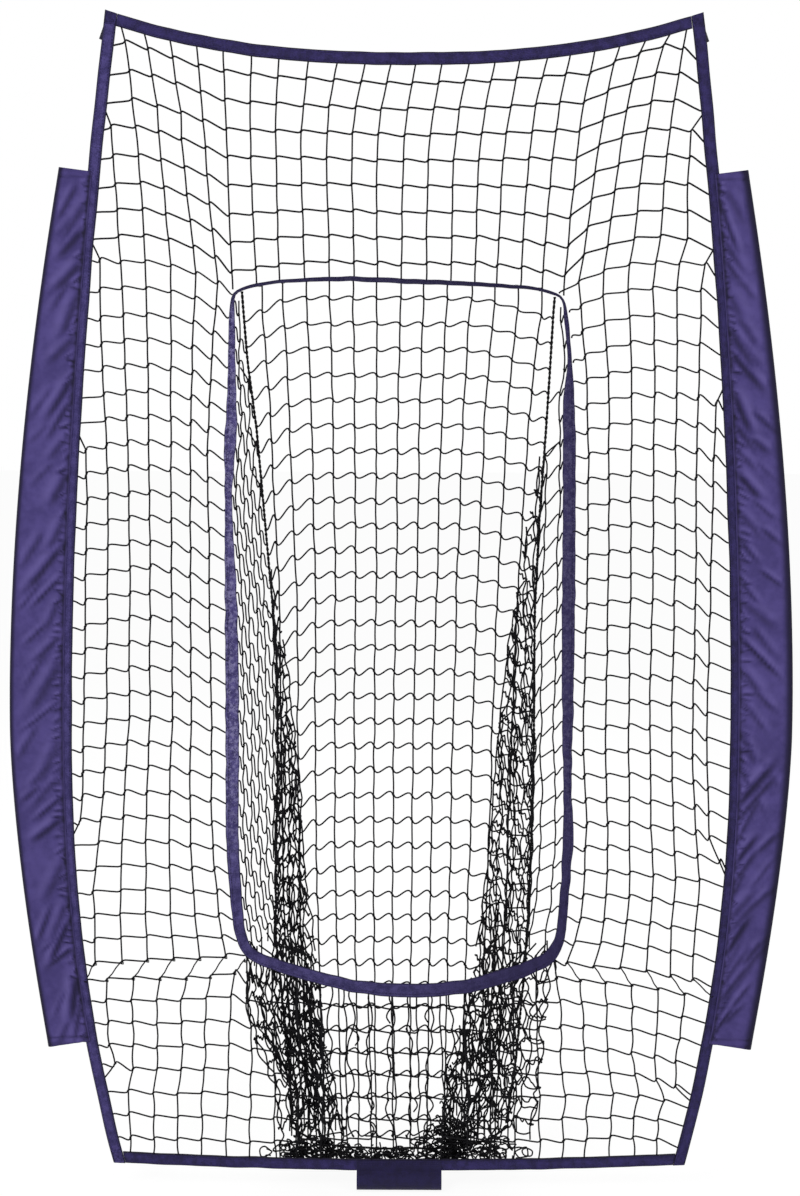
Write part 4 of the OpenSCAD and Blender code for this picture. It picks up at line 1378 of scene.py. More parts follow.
def pleated_net(strands, outer, inner, reach, drop, z_top, z_low, depth, wild, hump, swing, doubled=0.0,
                turned=0.0, size=0.85, radius=TWINE_R):
    """Netting crowded between the curves outer and inner, from z_top down to z_low.

    reach(index, z) is a column's distance from the outer curve and depth(x, z, index) its y. drop is
    how many cells the knots step down from column to column, and wild how far each strays. hump is
    the rise of the bars, of which the share turned goes the other way. swing is the bulge between
    two knots, and doubled the share of cells that a second strand closes. size and radius are those
    of knot and twine."""
    columns = []
    for index in range(MOST_COLUMNS):
        knots = {}
        for k in CELL_RANGE:
            z = z_top - (k + index * drop) * HANG_CELL + jitter(wild * 2.2)
            a, b = outer(z), inner(z)
            away = reach(index, z)
            if z_low < z < z_top + 0.02 and away < abs(b - a) - 0.002:
                x = a + math.copysign(away, b - a) + jitter(wild)
                knots[k] = Vector((x, depth(x, z, index), z))
        if len(knots) < 2:
            continue
        columns.append((index, knots))
    for place, (index, knots) in enumerate(columns):
        run = [knots[k] for k in sorted(knots)]
        first, last = run[0], run[-1]
        high = first.z + 0.024
        start_x = first.x
        if index:
            step = reach(index, high) - reach(index - 1, high)
            start_x -= math.copysign(step, first.x - outer(high))
        near, far = sorted((outer(high), inner(high)))
        above = Vector((min(max(start_x, near), far), 0, high))
        above.y = depth(above.x, above.z, index)
        path, lean = [above], rng.choice((-1, 1))
        for a, b in zip([above, *run], run):
            if a is not above:
                lean = -lean if rng.random() < 0.6 else lean
                bulge = lean * swing * (0.5 + rng.random())
                path.append(a.lerp(b, 0.5 + jitter(0.12)) + Vector((bulge, 0, 0)))
                if rng.random() < doubled:
                    other = a.lerp(b, 0.5) + Vector((-bulge * 1.2, 0.002, jitter(0.004)))
                    strands.tube(rounded([a, other, b], 5), radius)
            path.append(b)
        path.append(last - Vector((0, 0, 0.03)))
        strands.tube(rounded(path, 4), radius)
        following = columns[place + 1][1] if place + 1 < len(columns) else {}
        for k, at in knots.items():
            tie_knot(strands, at, 1 if index % 2 else -1, size)
            way = -1 if rng.random() < turned else 1
            if index == 0:
                z = at.z + drop * HANG_CELL * reach(0, at.z) / (reach(1, at.z) - reach(0, at.z))
                start = Vector((outer(z), 0, z))
                start.y = depth(start.x, z, 0)
                strands.tube(link_path(start, at, way * hump * 0.7), radius)
            if k in following:
                strands.tube(link_path(at, following[k], way * hump), radius)
            elif 0.003 < abs(inner(at.z) - at.x) < 0.020 and at.z < z_top - 0.04:
                z = at.z - drop * HANG_CELL * 0.7
                end = Vector((inner(z), 0, z))
                end.y = depth(end.x, end.z, index)
                strands.tube(link_path(at, end, way * hump * 0.8), radius)


def edge_strand(strands, points, spread):
    """One strand that wanders along the edge of a fold."""
    seed = rng.uniform(0, 50)
    path = []
    for p in points:
        x = spread * noise.noise(Vector((p.z * 30, seed, 0)))
        y = 0.003 * noise.noise(Vector((p.z * 20, seed, 4)))
        path.append(p + Vector((x, y, 0)))
    strands.tube(rounded(path, 2), TWINE_R)


# %% Gussets
BEHIND_RIM = 0.006
SIDE_FOOT, FOLD_FOOT = 0.425, 0.075     # where the side netting and the folds end
LAYER_FOOT = 0.42                       # where the folds' second layers and edge strands end


def gusset_depth(side, table):
    """From just behind the rim to the bag's seam."""
    outer = rim_inside(side)

    def at(x, z, index):
        start, end = outer(z), curve_at(table, z)
        share = min(max((x - start) / (end - start), 0), 1) if abs(end - start) > 1e-4 else 1
        return BEHIND_RIM + share * (bag_y(z) - BEHIND_RIM)
    return at


def right_reach(index, z):
    """The right side's columns start nearer to the rim higher up."""
    return (0.015 - 0.008 * min(max((z - 0.9) / 0.4, 0), 1)) + index * 0.0230


def bundle_depth(x, z, index):
    """Folds lie over each other in front of the back panel."""
    return max(0.010, bag_y(z) * (0.5 + 0.45 * (index * 7 % 5) / 5))


def fold_edge(table, z_top):
    """The line along one side of the folds, from z_top down to the second layers' foot."""
    points = [Vector((curve_at(table, z), 0, z)) for z in np.arange(z_top, LAYER_FOOT, -0.02)]
    return [Vector((p.x, bundle_depth(p.x, p.z, 1), p.z)) for p in points]


LEFT_FOLD = on_curve(LEFT_SEAM), on_curve(LEFT_INNER)
RIGHT_FOLD = on_curve(RIGHT_SEAM), on_curve(RIGHT_INNER)
left_gusset = Strands()
pleated_net(left_gusset, rim_inside(-1), on_curve(LEFT_SEAM), evenly(0.0090, 0.0128), 0.66, 1.61, SIDE_FOOT,
            gusset_depth(-1, LEFT_SEAM), wild=0.0013, hump=0.0042, swing=0.0016, size=0.75, radius=0.00145)
pleated_net(left_gusset, *LEFT_FOLD, evenly(0.0045, 0.0100), 0.10, 1.13, FOLD_FOOT, bundle_depth,
            wild=0.0016, hump=0.0065, swing=0.0026, doubled=0.45, turned=0.3)
pleated_net(left_gusset, *LEFT_FOLD, evenly(0.0100, 0.0190), -0.10, 0.90, LAYER_FOOT, bundle_depth,
            wild=0.0024, hump=0.0080, swing=0.0034, doubled=0.2, turned=0.4)
edge_strand(left_gusset, fold_edge(LEFT_SEAM, 1.15), 0.004)
edge_strand(left_gusset, fold_edge(LEFT_INNER, 1.02), 0.006)
right_gusset = Strands()
pleated_net(right_gusset, rim_inside(1), on_curve(RIGHT_SEAM), right_reach, 0.45, 1.60, SIDE_FOOT,
            gusset_depth(1, RIGHT_SEAM), wild=0.0012, hump=0.0, swing=0.0012, size=0.75, radius=0.0015)
pleated_net(right_gusset, *RIGHT_FOLD, evenly(0.0070, 0.0135), -0.42, 1.42, FOLD_FOOT, bundle_depth,
            wild=0.0026, hump=0.0045, swing=0.0026, doubled=0.3, turned=0.4, size=0.9, radius=0.0016)
pleated_net(right_gusset, *RIGHT_FOLD, evenly(0.0150, 0.0230), -0.30, 1.10, LAYER_FOOT, bundle_depth,
            wild=0.0036, hump=0.0060, swing=0.0042, doubled=0.3, turned=0.5, radius=0.0014)
edge_strand(right_gusset, fold_edge(RIGHT_INNER, 1.05), 0.006)
edge_strand(right_gusset, fold_edge(RIGHT_SEAM, 1.40), 0.004)
for strands, side, name, node in ((left_gusset, -1, "left_gusset_netting", "left_gusset_net"),
                                  (right_gusset, 1, "right_gusset_netting", "right_gusset_net")):
    piece = strands.finish(name, net_twine)
    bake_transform(piece)
    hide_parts(node)

# %% [markdown]
# ## Apron
# From the rim's lower edge an apron runs back to the hem and closes the bag. The netting that the bag
# doesn't need hangs in front of it, to the left and right, as dark masses below the folds, and lies
# along the foot as a crumpled pile. The masses are crowded nets again, with a second layer that steps
# down the other way, and the pile is a few hundred loose loops.

# %% Apron and heaps
APRON_TOP = 0.372
LEAST_Z = 0.034         # the apron's knots and loops stay above the foot


def apron_depth(z):
    """From behind the rim's lower edge back to the hem."""
    share = min(max((APRON_TOP - z) / (APRON_TOP - HEM_Z), 0), 1)
    return 0.010 + share * (BAG_DEPTH - 0.014)


def behind(at, y):
    """The place at depth y that a viewer in front sees at the same spot as at."""
    return CAMERA_AT + (at - CAMERA_AT) * ((4 + y) / 4)


apron = Strands()
for x0 in np.linspace(-0.165, 0.128, 9):
    column = []
    for q in range(1, 8):
        level = [at.z for at in lower_rows[q][1]]
        across = [at.x for at in lower_rows[q][1]]
        x = x0 + jitter(0.006)
        at = Vector((x, 0, float(np.interp(x, across, level)) + jitter(0.004)))
        at = behind(at, apron_depth(at.z))
        at.z = max(at.z, LEAST_Z)
        column.append(at)
        tie_knot(apron, at, -1)
    path = [Vector((x0, 0.006, rim_level(x0, -1) - 0.004))]
    for a, b in zip(path + column, column):
        path.append(a.lerp(b, 0.5) + Vector((rng.choice((-1, 1)) * (0.002 + rng.random() * 0.004), 0, 0)))
        path.append(b)
        if rng.random() < 0.35:
            side_way = rng.choice((-1, 1))
            loop = [b, b + Vector((side_way * 0.008, 0, -0.006)), b + Vector((side_way * 0.012, 0, -0.018)),
                    b + Vector((side_way * 0.005, 0, -0.030))]
            apron.tube(rounded([Vector((p.x, p.y, max(p.z, LEAST_Z))) for p in loop], 4))
    apron.tube(rounded(path, 4))

# (height, x) of the sides of the two masses
LEFT_MASS_OUTER = ((0.440, -0.285), (0.348, -0.285), (0.300, -0.280), (0.243, -0.266), (0.205, -0.240),
                   (0.186, -0.231), (0.040, -0.226))
LEFT_MASS_DENSE = ((0.440, -0.268), (0.300, -0.260), (0.243, -0.240), (0.186, -0.213), (0.128, -0.196),
                   (0.040, -0.190))
LEFT_MASS_INNER = ((0.440, -0.155), (0.348, -0.146), (0.243, -0.137), (0.186, -0.123), (0.128, -0.121),
                   (0.078, -0.104), (0.040, -0.094))
RIGHT_MASS_OUTER = ((0.440, 0.276), (0.337, 0.274), (0.250, 0.268), (0.164, 0.264), (0.100, 0.252),
                    (0.040, 0.236))
RIGHT_MASS_INNER = ((0.440, 0.140), (0.313, 0.125), (0.241, 0.110), (0.200, 0.097), (0.107, 0.077),
                    (0.040, 0.060))
MASS_FOOT = 0.046


def heap_depth(x, z, index):
    """The masses' columns lie at different depths between the net and the apron."""
    return 0.010 + (apron_depth(z) - 0.004) * (0.15 + 0.8 * (index * 5 % 7) / 7)


# outer, inner, first column, pitch, drop, top, wild, hump, swing, doubled
MASSES = ((LEFT_MASS_OUTER, LEFT_MASS_INNER, 0.002, 0.0130, 0.15, 0.440, 0.0036, 0.008, 0.0042, 0.35),
          (LEFT_MASS_DENSE, LEFT_MASS_INNER, 0.004, 0.0300, -0.20, 0.425, 0.0036, 0.009, 0.0042, 0.4),
          (RIGHT_MASS_OUTER, RIGHT_MASS_INNER, 0.004, 0.0190, 0.15, 0.440, 0.0040, 0.0040, 0.0058, 0.35),
          (RIGHT_MASS_OUTER, RIGHT_MASS_INNER, 0.070, 0.0230, -0.20, 0.420, 0.0050, 0.0055, 0.0065, 0.3))
for outer, inner, first, pitch, drop, z_top, wild, hump, swing, doubled in MASSES:
    pleated_net(apron, on_curve(outer), on_curve(inner), evenly(first, pitch), drop, z_top, MASS_FOOT,
                heap_depth, wild, hump, swing, doubled, turned=0.5, size=0.9)


def crumple(strands, centre, spread, count):
    """Loose loops of netting in a heap round a centre, between the lower net and the apron."""
    for _ in range(count):
        at = Vector((rng.gauss(centre[0], spread[0]), 0, 0))
        at.y = min(max(rng.gauss(centre[1], spread[1]), 0.012), 0.085)
        at.z = max(rng.gauss(centre[2], spread[2]), 0.027)
        size = 0.005 + 0.008 * rng.random()
        turn = rng.uniform(0, 6.28)
        flat = 0.55 + 0.5 * rng.random()
        points = []
        for i in range(rng.choice((4, 5, 7))):
            a = turn + i * 1.15
            points.append(at + Vector((size * math.cos(a) * (1 + jitter(0.2)), jitter(0.006),
                                       size * flat * math.sin(a) * (1 + jitter(0.2)))))
        points = [Vector((p.x, min(max(p.y, 0.011), 0.1), max(p.z, 0.024))) for p in points]
        strands.tube(rounded(points, 4), TWINE_R * 0.95)
        if rng.random() < 0.5:
            tie_knot(strands, points[2], rng.choice((-1, 1)), 0.9)


crumple(apron, (0.092, 0.040, 0.056), (0.024, 0.018, 0.019), 90)
crumple(apron, (-0.160, 0.040, 0.044), (0.036, 0.020, 0.010), 80)
crumple(apron, (-0.030, 0.040, 0.031), (0.085, 0.018, 0.005), 110)
crumple(apron, (0.165, 0.040, 0.042), (0.036, 0.020, 0.009), 50)
apron_net = apron.finish("bag_apron_netting", net_twine)
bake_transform(apron_net)
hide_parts("bag_apron_net")

# %% [markdown]
# ## Bag cords
# The seams are laced with two cords that wind round each other. The head cord and the hem cord are
# heavier, and short turns of twine tie them to the netting.

# %% Head, hem and seam cords
def wound_pair(strands, path, radius, pitch):
    """Two cords that wind round a path."""
    points = [Vector(p) for p in path]
    run = [0.0]
    for a, b in zip(points, points[1:]):
        run.append(run[-1] + (b - a).length)
    count = int(run[-1] / 0.004)
    for half in (0, math.pi):
        line = []
        for i in range(count + 1):
            s = run[-1] * i / count
            at = Vector([float(np.interp(s, run, [p[k] for p in points])) for k in range(3)])
            a = 2 * math.pi * s / pitch + half
            line.append(at + Vector((radius * 0.9 * math.cos(a), radius * 0.9 * math.sin(a), 0)))
        strands.tube(line, radius, 6)


def seam_line(table):
    """The seam from the head cord down to the hem."""
    top = head_level(curve_at(table, HEAD_Z)) - 0.004
    return [(curve_at(table, z), bag_y(z), z) for z in np.linspace(top, HEM_Z + 0.006, 60)]


for table, name, node in ((LEFT_SEAM, "left_seam_lacing", "left_seam_cord"),
                          (RIGHT_SEAM, "right_seam_lacing", "right_seam_cord")):
    seam = Strands()
    wound_pair(seam, seam_line(table), 0.0015, 0.018)
    put_in(seam.finish(name, lacing_cord), "bag", node)

TIE_R, TIE_PITCH = 0.0009, 0.0022
TURN = np.linspace(0, 2 * math.pi, 9)


def tied_cord(name, node, path, radius, ties):
    """A cord with three turns of twine round it at each tie."""
    cord = Strands()
    cord.tube(path, radius, 8)
    round_it = radius + TIE_R
    for at in ties:
        for row in range(3):
            ring = [Vector((at.x + TIE_PITCH * row + 0.0018 * a / (2 * math.pi),
                            at.y + round_it * math.cos(a), at.z + round_it * math.sin(a))) for a in TURN]
            cord.tube(ring, TIE_R, 4)
    put_in(cord.finish(name, lacing_cord), "bag", node)


def head_at(x):
    return Vector((x, head_y(x), head_level(x)))


def hem_at(x, rise=0.0):
    return Vector((x, HEM_Y, hem_level(x) + rise))


tied_cord("bag_head_lacing", "bag_head_cord", [head_at(x) for x in np.linspace(-0.284, 0.270, 48)],
          0.0021, [head_at(x) for x in np.linspace(-0.258, 0.240, 13)])
hem_path = [hem_at(x, 0.0025 * noise.noise(Vector((x * 22, 5.0, 0))))
            for x in np.linspace(-HEM_HALF, HEM_HALF, 40)]
tied_cord("bag_hem_lacing", "bag_hem_cord", hem_path, 0.0023,
          [hem_at(x) for x in np.linspace(-0.177, 0.153, 11)])

# %% [markdown]
# ## Sleeves
# A sleeve is a flat tunnel of coated nylon sewn to the side band, with the pole's channel along its
# outer edge. Here it is empty, so it keeps the folds of its packing: slanting creases that start at
# the seam, a puckered seam line and turned hems at both ends. A grid is folded lengthwise, and its
# long edges are lapped over both faces of the band. A crease's depth is kept as an attribute, so that
# painted shade darkens the nylon in it and a painted highlight brightens the crest above it. The same
# attribute paints shade along the rounded outer edge.

# %% Sleeves
SLEEVE_TOP, SLEEVE_LOW, SLEEVE_BELLY = 1.862, 0.265, 0.850
SLEEVE_L = SLEEVE_TOP - SLEEVE_LOW
SLEEVE_HALF = 0.712     # half the width over both sleeves at their belly
NOSE_R = 0.008          # the round outer edge, where the pole runs
SLEEVE_T = 0.0007
SLEEVE_LAP = 0.008      # how far each long edge lies over the band
CHANNEL_W = {-1: 0.0080, 1: 0.0135}     # width of the painted shade strip along the outer edge, where the cloth turns away


def sleeve_half(z):
    if z >= SLEEVE_BELLY:
        return SLEEVE_HALF - 0.107 * ((z - SLEEVE_BELLY) / (SLEEVE_TOP - SLEEVE_BELLY)) ** 1.8
    return SLEEVE_HALF - 0.059 * ((SLEEVE_BELLY - z) / (SLEEVE_BELLY - SLEEVE_LOW)) ** 1.6


def sleeve_wrinkles(side):
    """Strokes of creases as (height, share across) at both ends, width, depth. They start at the seam."""
    dice = random.Random(7 + side)
    strokes = []
    z = SLEEVE_TOP - 0.05
    while z > SLEEVE_LOW + 0.02:
        upward = side > 0 and z < 0.78
        reach = dice.uniform(0.35, 0.80)
        fall = dice.uniform(0.04, 0.10) * (-1 if upward else 1)
        strokes.append(((z, 0.06), (z - fall, reach), dice.uniform(0.0035, 0.0075), dice.uniform(0.5, 1.0)))
        if dice.random() < 0.7:
            start = dice.uniform(0.25, 0.5)
            end = (z + 0.02 - fall * 0.7, start + 0.4)
            strokes.append(((z + 0.02, start), end, dice.uniform(0.003, 0.006), dice.uniform(0.4, 0.8)))
        z -= dice.uniform(0.022, 0.045) if upward else dice.uniform(0.035, 0.080)
    z = SLEEVE_TOP - 0.02
    while z > SLEEVE_LOW + 0.02:
        end = (z - dice.uniform(-0.006, 0.016), dice.uniform(0.12, 0.30))
        strokes.append(((z, 0.05), end, dice.uniform(0.0016, 0.0034), dice.uniform(0.5, 1.0)))
        z -= dice.uniform(0.006, 0.018)
    return strokes


WRINKLES = {side: sleeve_wrinkles(side) for side in (-1, 1)}


def crease_depth(u, z, side):
    """1 in a crease, negative on the crest that lies above it."""
    width = sleeve_half(z) - band_half(z)
    deep, crest = 0.0, 0.0
    for (z0, u0), (z1, u1), thick, strength in WRINKLES[side]:
        if not min(z0, z1) - 0.04 < z < max(z0, z1) + 0.04:
            continue
        dx, dz = (u1 - u0) * width, z1 - z0
        px, pz = (u - u0) * width, z - z0
        t = (px * dx + pz * dz) / (dx * dx + dz * dz)
        if not -0.15 < t < 1.15:
            continue
        off = (pz * dx - px * dz) / math.hypot(dx, dz) / thick
        fade = strength * math.exp(-((max(0.0, abs(t - 0.45) - 0.2)) / 0.28) ** 2)
        deep = max(deep, fade * math.exp(-off * off))
        crest = max(crest, fade * math.exp(-(off - 1.9) ** 2 / 1.6))
    return deep - 0.75 * crest * (1 - deep)


def sleeve_place(side):
    def place(u, v):
        z = SLEEVE_LOW + (SLEEVE_TOP - SLEEVE_LOW) * u
        turn = v * 2 * math.pi
        seam = band_half(z) - SLEEVE_LAP
        centre = sleeve_half(z) - NOSE_R
        across = 0.5 - 0.5 * math.cos(turn)
        front = 1 if turn < math.pi else -1
        x = seam + across * (centre + NOSE_R - seam)
        free = min(max((x - seam - SLEEVE_LAP) / 0.008, 0), 1)
        free = free * free * (3 - 2 * free)
        half = 0.0011 + (NOSE_R - 0.0011) * across ** 1.5 + 0.0026 * (1 - free)
        round_off = math.sqrt(max(0.0, 1 - max(0.0, (x - centre) / NOSE_R) ** 2))
        fold = -crease_depth(across, z, side) * math.sin(math.pi * min(across * 0.96 + 0.04, 1)) ** 0.5
        slow = noise.noise(Vector((z * 7 + across * 1.1, across, 3.1 * side)))
        lift = (0.0030 * fold + 0.0020 * slow * math.sin(math.pi * across)) * free
        near_top, near_low = (1 - u) * (SLEEVE_TOP - SLEEVE_LOW), u * (SLEEVE_TOP - SLEEVE_LOW)
        hem = 0.0006 if min(near_top, near_low) < 0.012 else 0.0
        y = -front * (half * round_off + hem * (across > 0.03)) + lift * (-1 if front > 0 else -0.6)
        top_slant = (0.0035 - 0.0075 * (1 - across)) * math.exp(-near_top / 0.05)
        low_slant = (0.0045 - 0.0100 * across) * math.exp(-near_low / 0.05)
        return Vector((side * x, y, z + top_slant + low_slant))
    return place


def mark_creases(sleeve, side):
    """Above 0 the nylon is darkened: painted shade in the creases and along the channel, and the seam and hem
    lines. Below 0 it gets a painted highlight.
    """
    mesh = sleeve.data
    attribute = mesh.attributes.new("painted_light_and_seams", "FLOAT", "POINT")
    values = []
    for vertex in mesh.vertices:
        x, z = abs(vertex.co.x), vertex.co.z
        seam, outer = band_half(z) - SLEEVE_LAP, sleeve_half(z)
        across = min(max((x - seam) / (outer - seam), 0), 1)
        depth = crease_depth(across, z, side)
        pucker = noise.noise(Vector((z * 75, 1.7 * side, 0)))
        off_seam = (x - seam - 0.0032 - 0.0016 * pucker) / (0.0026 + 0.0012 * pucker)
        stitched = math.exp(-off_seam ** 2) * (0.85 + 0.3 * pucker)
        # painted shade along the rounded outer edge, where the cloth turns away from the light
        channel_shade = math.exp(-((outer - x) / CHANNEL_W[side]) ** 4)
        near_end = min(z - SLEEVE_LOW, SLEEVE_TOP - z)
        hem = 0.35 * math.exp(-((near_end - 0.013) / 0.0020) ** 2) + 0.3 * math.exp(-(near_end / 0.003) ** 2)
        shade_and_seam_lines = min(1.0, max(0.0, depth) * 0.9 + 0.85 * stitched + channel_shade + hem)
        values.append(shade_and_seam_lines if shade_and_seam_lines > 0.04 else min(0.0, depth))
    attribute.data.foreach_set("value", values)
    print("creases", round(min(values), 2), round(max(values), 2))


SLEEVE_RINGS, SLEEVE_ROUND = 520, 48
NOSE_TURN, HEM_TURNS = 0.009, 0.02      # cloth that goes round the outer edge, and into both hems


def sleeve_middle(point):
    x = (band_half(point.z) + sleeve_half(point.z)) / 2
    return Vector((math.copysign(x, point.x), 0, point.z))


widths = [sleeve_half(z) - band_half(z) for z in np.linspace(SLEEVE_LOW, SLEEVE_TOP, 60)]
girth = 2 * (sum(widths) / len(widths) + SLEEVE_LAP) + NOSE_TURN
for side, name, node, band in ((-1, "left_pole_sleeve", "left_sleeve", "left_edge_band"),
                               (1, "right_pole_sleeve", "right_sleeve", "right_edge_band")):
    sleeve = bent_sheet(name, SLEEVE_RINGS, SLEEVE_ROUND, sleeve_place(side), (SLEEVE_L, girth), 0,
                        sleeve_nylon)
    mark_creases(sleeve, side)
    face_out(sleeve, sleeve_middle)
    only_select(sleeve)
    give_wall(sleeve, SLEEVE_T)
    put_in(sleeve, "net", node)
    print(name, "girth", round(girth, 3))

# %% [markdown]
# ## Foot strap
# A broad strap below the bottom band wraps the frame's base bar. Its front half is sewn down over the
# band. Its rear half is a flap that opens on the fold under the bar and is held by hook-and-loop tape.

# %% Strap halves
BAR_R, STRAP_T, STRAP_L, TAIL_H = 0.016, 0.0018, 0.160, 0.020
STRAP_R = BAR_R + STRAP_T / 2
FRONT_Y = BAND_T / 2 + 0.0001 + STRAP_T / 2
FLAP_Y = BAND_T / 2 + 0.0023 + STRAP_T / 2


def strap_profile(tail_y, start):
    """(y, z) along one half: round the bar, straight up to the band, then up the band."""
    reach = math.hypot(tail_y, FOOT_H)
    leave = math.atan2(FOOT_H, tail_y) - math.acos(STRAP_R / reach)
    points = [(STRAP_R * math.cos(a), STRAP_R * math.sin(a)) for a in np.linspace(start, leave, 26)]
    points += [(points[-1][0] + (tail_y - points[-1][0]) * t, points[-1][1] + (FOOT_H - points[-1][1]) * t)
               for t in (0.25, 0.5, 0.75)]
    points += [(tail_y, FOOT_H + TAIL_H * t) for t in (0, 0.15, 0.3, 0.45, 0.6, 0.75, 0.88, 1.0)]
    run = [0.0]
    for a, b in zip(points, points[1:]):
        run.append(run[-1] + math.hypot(b[0] - a[0], b[1] - a[1]))
    return points, run


def strap_half(name, tail_y, start, mirror, seed):
    """One half of the strap. mirror puts it in front of the bar instead of behind it."""
    points, run = strap_profile(tail_y, start)
    side = -1 if mirror else 1

    def place(u, v):
        s = v * run[-1]
        y = float(np.interp(s, run, [p[0] for p in points]))
        z = float(np.interp(s, run, [p[1] for p in points]))
        corner = max(0.0, 1 - min(u, 1 - u) * STRAP_L / 0.004) ** 2 * max(0.0, 1 - (run[-1] - s) / 0.004) ** 2
        half = STRAP_L / 2 - 0.0006 - 0.0012 * corner
        wave = 0.0003 * noise.noise(Vector((u * 14, v * 3, seed)))
        return Vector(((2 * u - 1) * half, side * (y + wave), z))
    strap = bent_sheet(name, 64, 60, place, (STRAP_L, run[-1]), STRAP_T - 0.0003, strap_webbing, offset=0.0)
    only_select(strap)
    soften(strap, 0.00035)

    def hem(v):
        return lambda t: place(0.03 + 0.94 * t, v) + Vector((0, side * (STRAP_T / 2), 0))
    if mirror:
        sew(strap, [(hem(v), STRAP_L * 0.94) for v in (0.955, 0.90)], 0.0050)
    return strap


HALVES_APART = 3.8      # degrees between the two halves, under the bar
foot_strap = strap_half("foot_strap_front", FRONT_Y, math.radians(-90 + HALVES_APART), True, 1.0)
put_in(foot_strap, "net", "foot_strap")
strap_flap = strap_half("foot_strap_flap", FLAP_Y, math.radians(-90), False, 2.0)
put_in(strap_flap, "flap", "strap_flap")
print("strap girth", round(2 * strap_profile(FLAP_Y, -math.pi / 2)[1][-1], 3))

# %% Hook and loop tapes
STRIP_T, STRIP_INSET = 0.001, 0.006
STRIP_LOW = FOOT_H + BOTTOM_DIP / 10 + 0.002
STRIP_HIGH = FOOT_H + BOTTOM_DIP / 10 + 0.018
STRIP_W = STRIP_HIGH - STRIP_LOW
BUMP_ROWS, BUMP_H = 60, 0.0002


def pile_strip(name, node, y, material, body):
    """A strip of hook or loop tape, its face broken up by low bumps."""
    half = STRAP_L / 2 - STRIP_INSET

    def place(u, v):
        bump = BUMP_H * abs(math.sin(u * BUMP_ROWS * math.pi)) * abs(math.sin(v * 9 * math.pi))
        return Vector(((2 * u - 1) * half, y - bump, STRIP_LOW + STRIP_W * v))
    strip = bent_sheet(name, BUMP_ROWS * 2, 18, place, (2 * half, STRIP_W), STRIP_T * 0.7, material)
    put_in(strip, body, node)


pile_strip("loop_tape", "loop_strip", BAND_T / 2 + 0.0006, loop_pile, "net")
pile_strip("hook_tape", "hook_strip", BAND_T / 2 + 0.0018, hook_tips, "flap")
print("strips", round(STRIP_W, 3), "m wide")

# %% [markdown]
# ## Corner fittings
# Webbing squares with a boxed cross of stitches strengthen the corners. Behind the top corners the
# poles' tips sit in webbing pockets, and behind the bottom corners loops tie down to the frame.

# %% Patches
def corner_patch(side, top):
    corner = ("top" if top else "bottom") + ("_left" if side < 0 else "_right")
    z0, z1 = BOTTOM_H + 0.001, BOTTOM_H + BAND_W + 0.002
    if top:
        z0, z1 = CORNER_H - BAND_W - 0.002, CORNER_H - 0.001

    def place(u, v):
        away = 0.001 + (BAND_W - 0.002) * v
        z = z0 + (z1 - z0) * u
        if top:
            z -= max(0.0, (z - (top_edge(band_half(z) - away) - 0.0005)))
        swell = 0.0003 * math.sin(math.pi * u) * math.sin(math.pi * v)
        return Vector((side * (band_half(z) - away), -(BAND_T / 2 + 0.0005) - swell, z))
    # The lower left patch has the lighter copy too: painted light, like the left band.
    patch = bent_sheet(corner + "_corner_patch", 16, 16, place, (z1 - z0, BAND_W - 0.002), 0.0008,
                       lit_webbing if side < 0 and not top else dark_webbing, offset=0.0)
    corners = ((0.14, 0.14), (0.86, 0.14), (0.86, 0.86), (0.14, 0.86))
    lines = [*zip(corners, corners[1:] + corners[:1]), (corners[0], corners[2]), (corners[1], corners[3])]

    def on_patch(a, b):
        return lambda t: place(a[0] + (b[0] - a[0]) * t, a[1] + (b[1] - a[1]) * t) + Vector((0, -0.0004, 0))
    sew(patch, [(on_patch(a, b), 0.022) for a, b in lines], 0.0036)
    put_in(patch, "net", corner + "_patch")


for top in (True, False):
    for side in (-1, 1):
        corner_patch(side, top)
print("patches made")


# %% Pole cups and corner loops
SEAT = 0.0003           # between a fitting and the band that carries it
SMOOTH = math.radians(40)


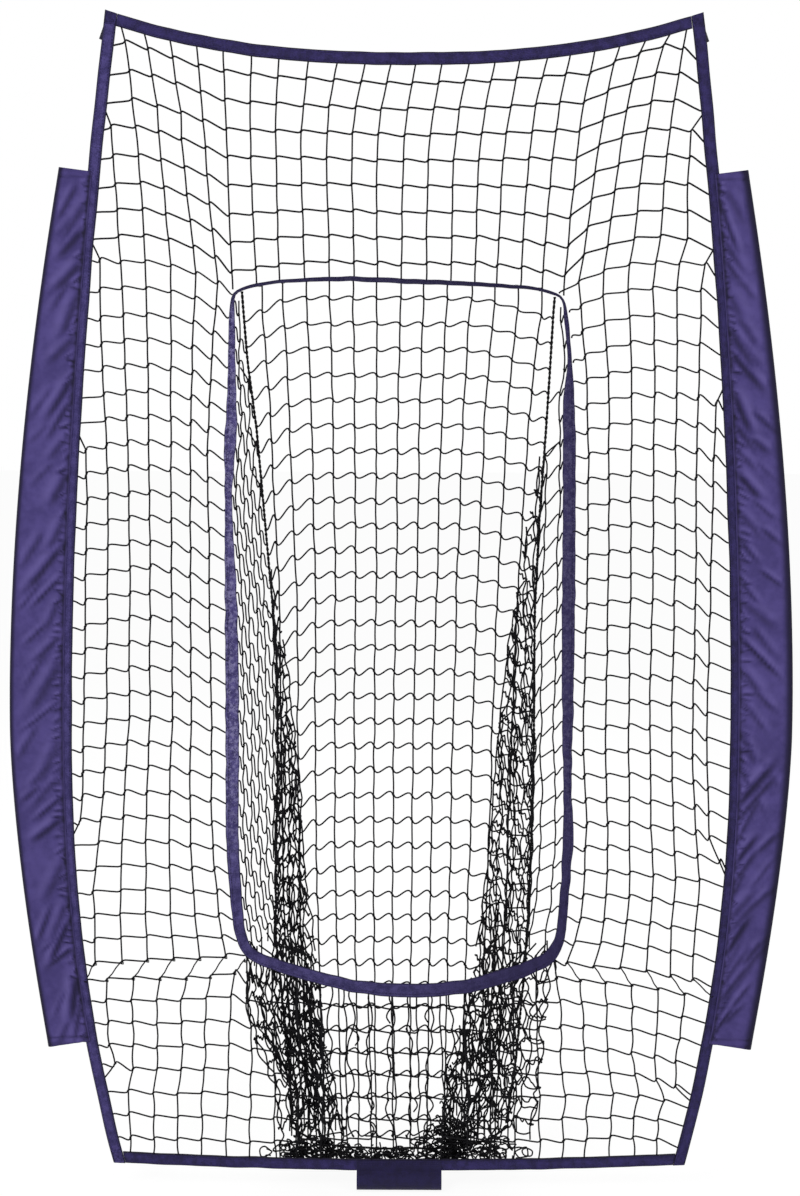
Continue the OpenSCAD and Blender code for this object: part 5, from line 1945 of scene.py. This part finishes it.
def cup(name, node, side):
    """A pocket for a pole's tip: a tube drawn in to a closed end, hemmed at its mouth."""
    radius, wall_t, length = 0.007, 0.0015, 0.045
    bpy.ops.object.select_all(action="DESELECT")
    bpy.ops.mesh.primitive_cylinder_add(vertices=36, radius=radius + wall_t, depth=length,
                                        end_fill_type="NGON", location=(0, 0, -length / 2 - wall_t / 2))
    piece = bpy.context.object
    piece.name = name
    bpy.ops.object.mode_set(mode="EDIT")
    bpy.ops.mesh.select_mode(type="FACE")
    bpy.ops.mesh.select_all(action="DESELECT")
    bpy.ops.object.mode_set(mode="OBJECT")
    for polygon in piece.data.polygons:
        polygon.select = polygon.normal.z > 0.9
    bpy.ops.object.mode_set(mode="EDIT")
    bpy.ops.mesh.inset(thickness=0.0022)
    bpy.ops.transform.translate(value=(0, 0, wall_t / 2))
    bpy.ops.mesh.select_all(action="DESELECT")
    bpy.ops.object.mode_set(mode="OBJECT")
    for polygon in piece.data.polygons:
        polygon.select = polygon.normal.z < -0.9
    bpy.ops.object.mode_set(mode="EDIT")
    bpy.ops.mesh.inset(thickness=wall_t)
    bpy.ops.mesh.extrude_region_move(TRANSFORM_OT_translate={"value": (0, 0, length - wall_t)})
    bpy.ops.mesh.select_all(action="SELECT")
    bpy.ops.mesh.normals_make_consistent(inside=False)
    bpy.ops.object.mode_set(mode="OBJECT")
    soften(piece, 0.0004, SMOOTH)
    bpy.ops.object.shade_smooth_by_angle(angle=SMOOTH)
    outer = radius + wall_t
    lean = Matrix.Rotation(math.radians(-20), 4, "Y")
    place = Matrix.Translation((band_half(CORNER_H) - BAND_W / 2, BAND_T / 2 + SEAT + outer,
                                CORNER_H - outer))
    mirror = Matrix.Scale(-1, 4, (1, 0, 0)) if side < 0 else Matrix.Identity(4)
    piece.data.transform(piece.matrix_world)
    piece.matrix_world = Matrix.Identity(4)
    piece.data.transform(mirror @ place @ lean)
    if side < 0:
        piece.data.flip_normals()
    piece.data.materials.append(dark_webbing)
    put_in(piece, "net", node)


def corner_loop(name, node, side):
    """A short tube of webbing, open at both ends, that a tie goes through."""
    radius, wall_t, length = 0.008, 0.0015, 0.025
    at = Vector((side * (BOTTOM_W / 2 - 0.042), BAND_T / 2 + SEAT + radius + wall_t,
                 BOTTOM_H + BAND_W / 2 - 0.003))
    bpy.ops.object.select_all(action="DESELECT")
    bpy.ops.mesh.primitive_cylinder_add(vertices=36, radius=radius + wall_t, depth=length,
                                        end_fill_type="NOTHING")
    piece = bpy.context.object
    piece.name = name
    give_wall(piece, wall_t)
    soften(piece, 0.0004, SMOOTH)
    bpy.ops.object.shade_smooth_by_angle(angle=SMOOTH)
    flat = Matrix.Scale(0.60, 4, (0, 0, 1))
    piece.data.transform(Matrix.Translation(at) @ flat @ Matrix.Rotation(math.radians(90), 4, "Y"))
    piece.data.materials.append(dark_webbing)
    put_in(piece, "net", node)


cup("left_pole_pocket", "left_pole_cup", -1)
cup("right_pole_pocket", "right_pole_cup", 1)
corner_loop("left_tie_loop", "left_corner_loop", -1)
corner_loop("right_tie_loop", "right_corner_loop", 1)
print("fittings made")
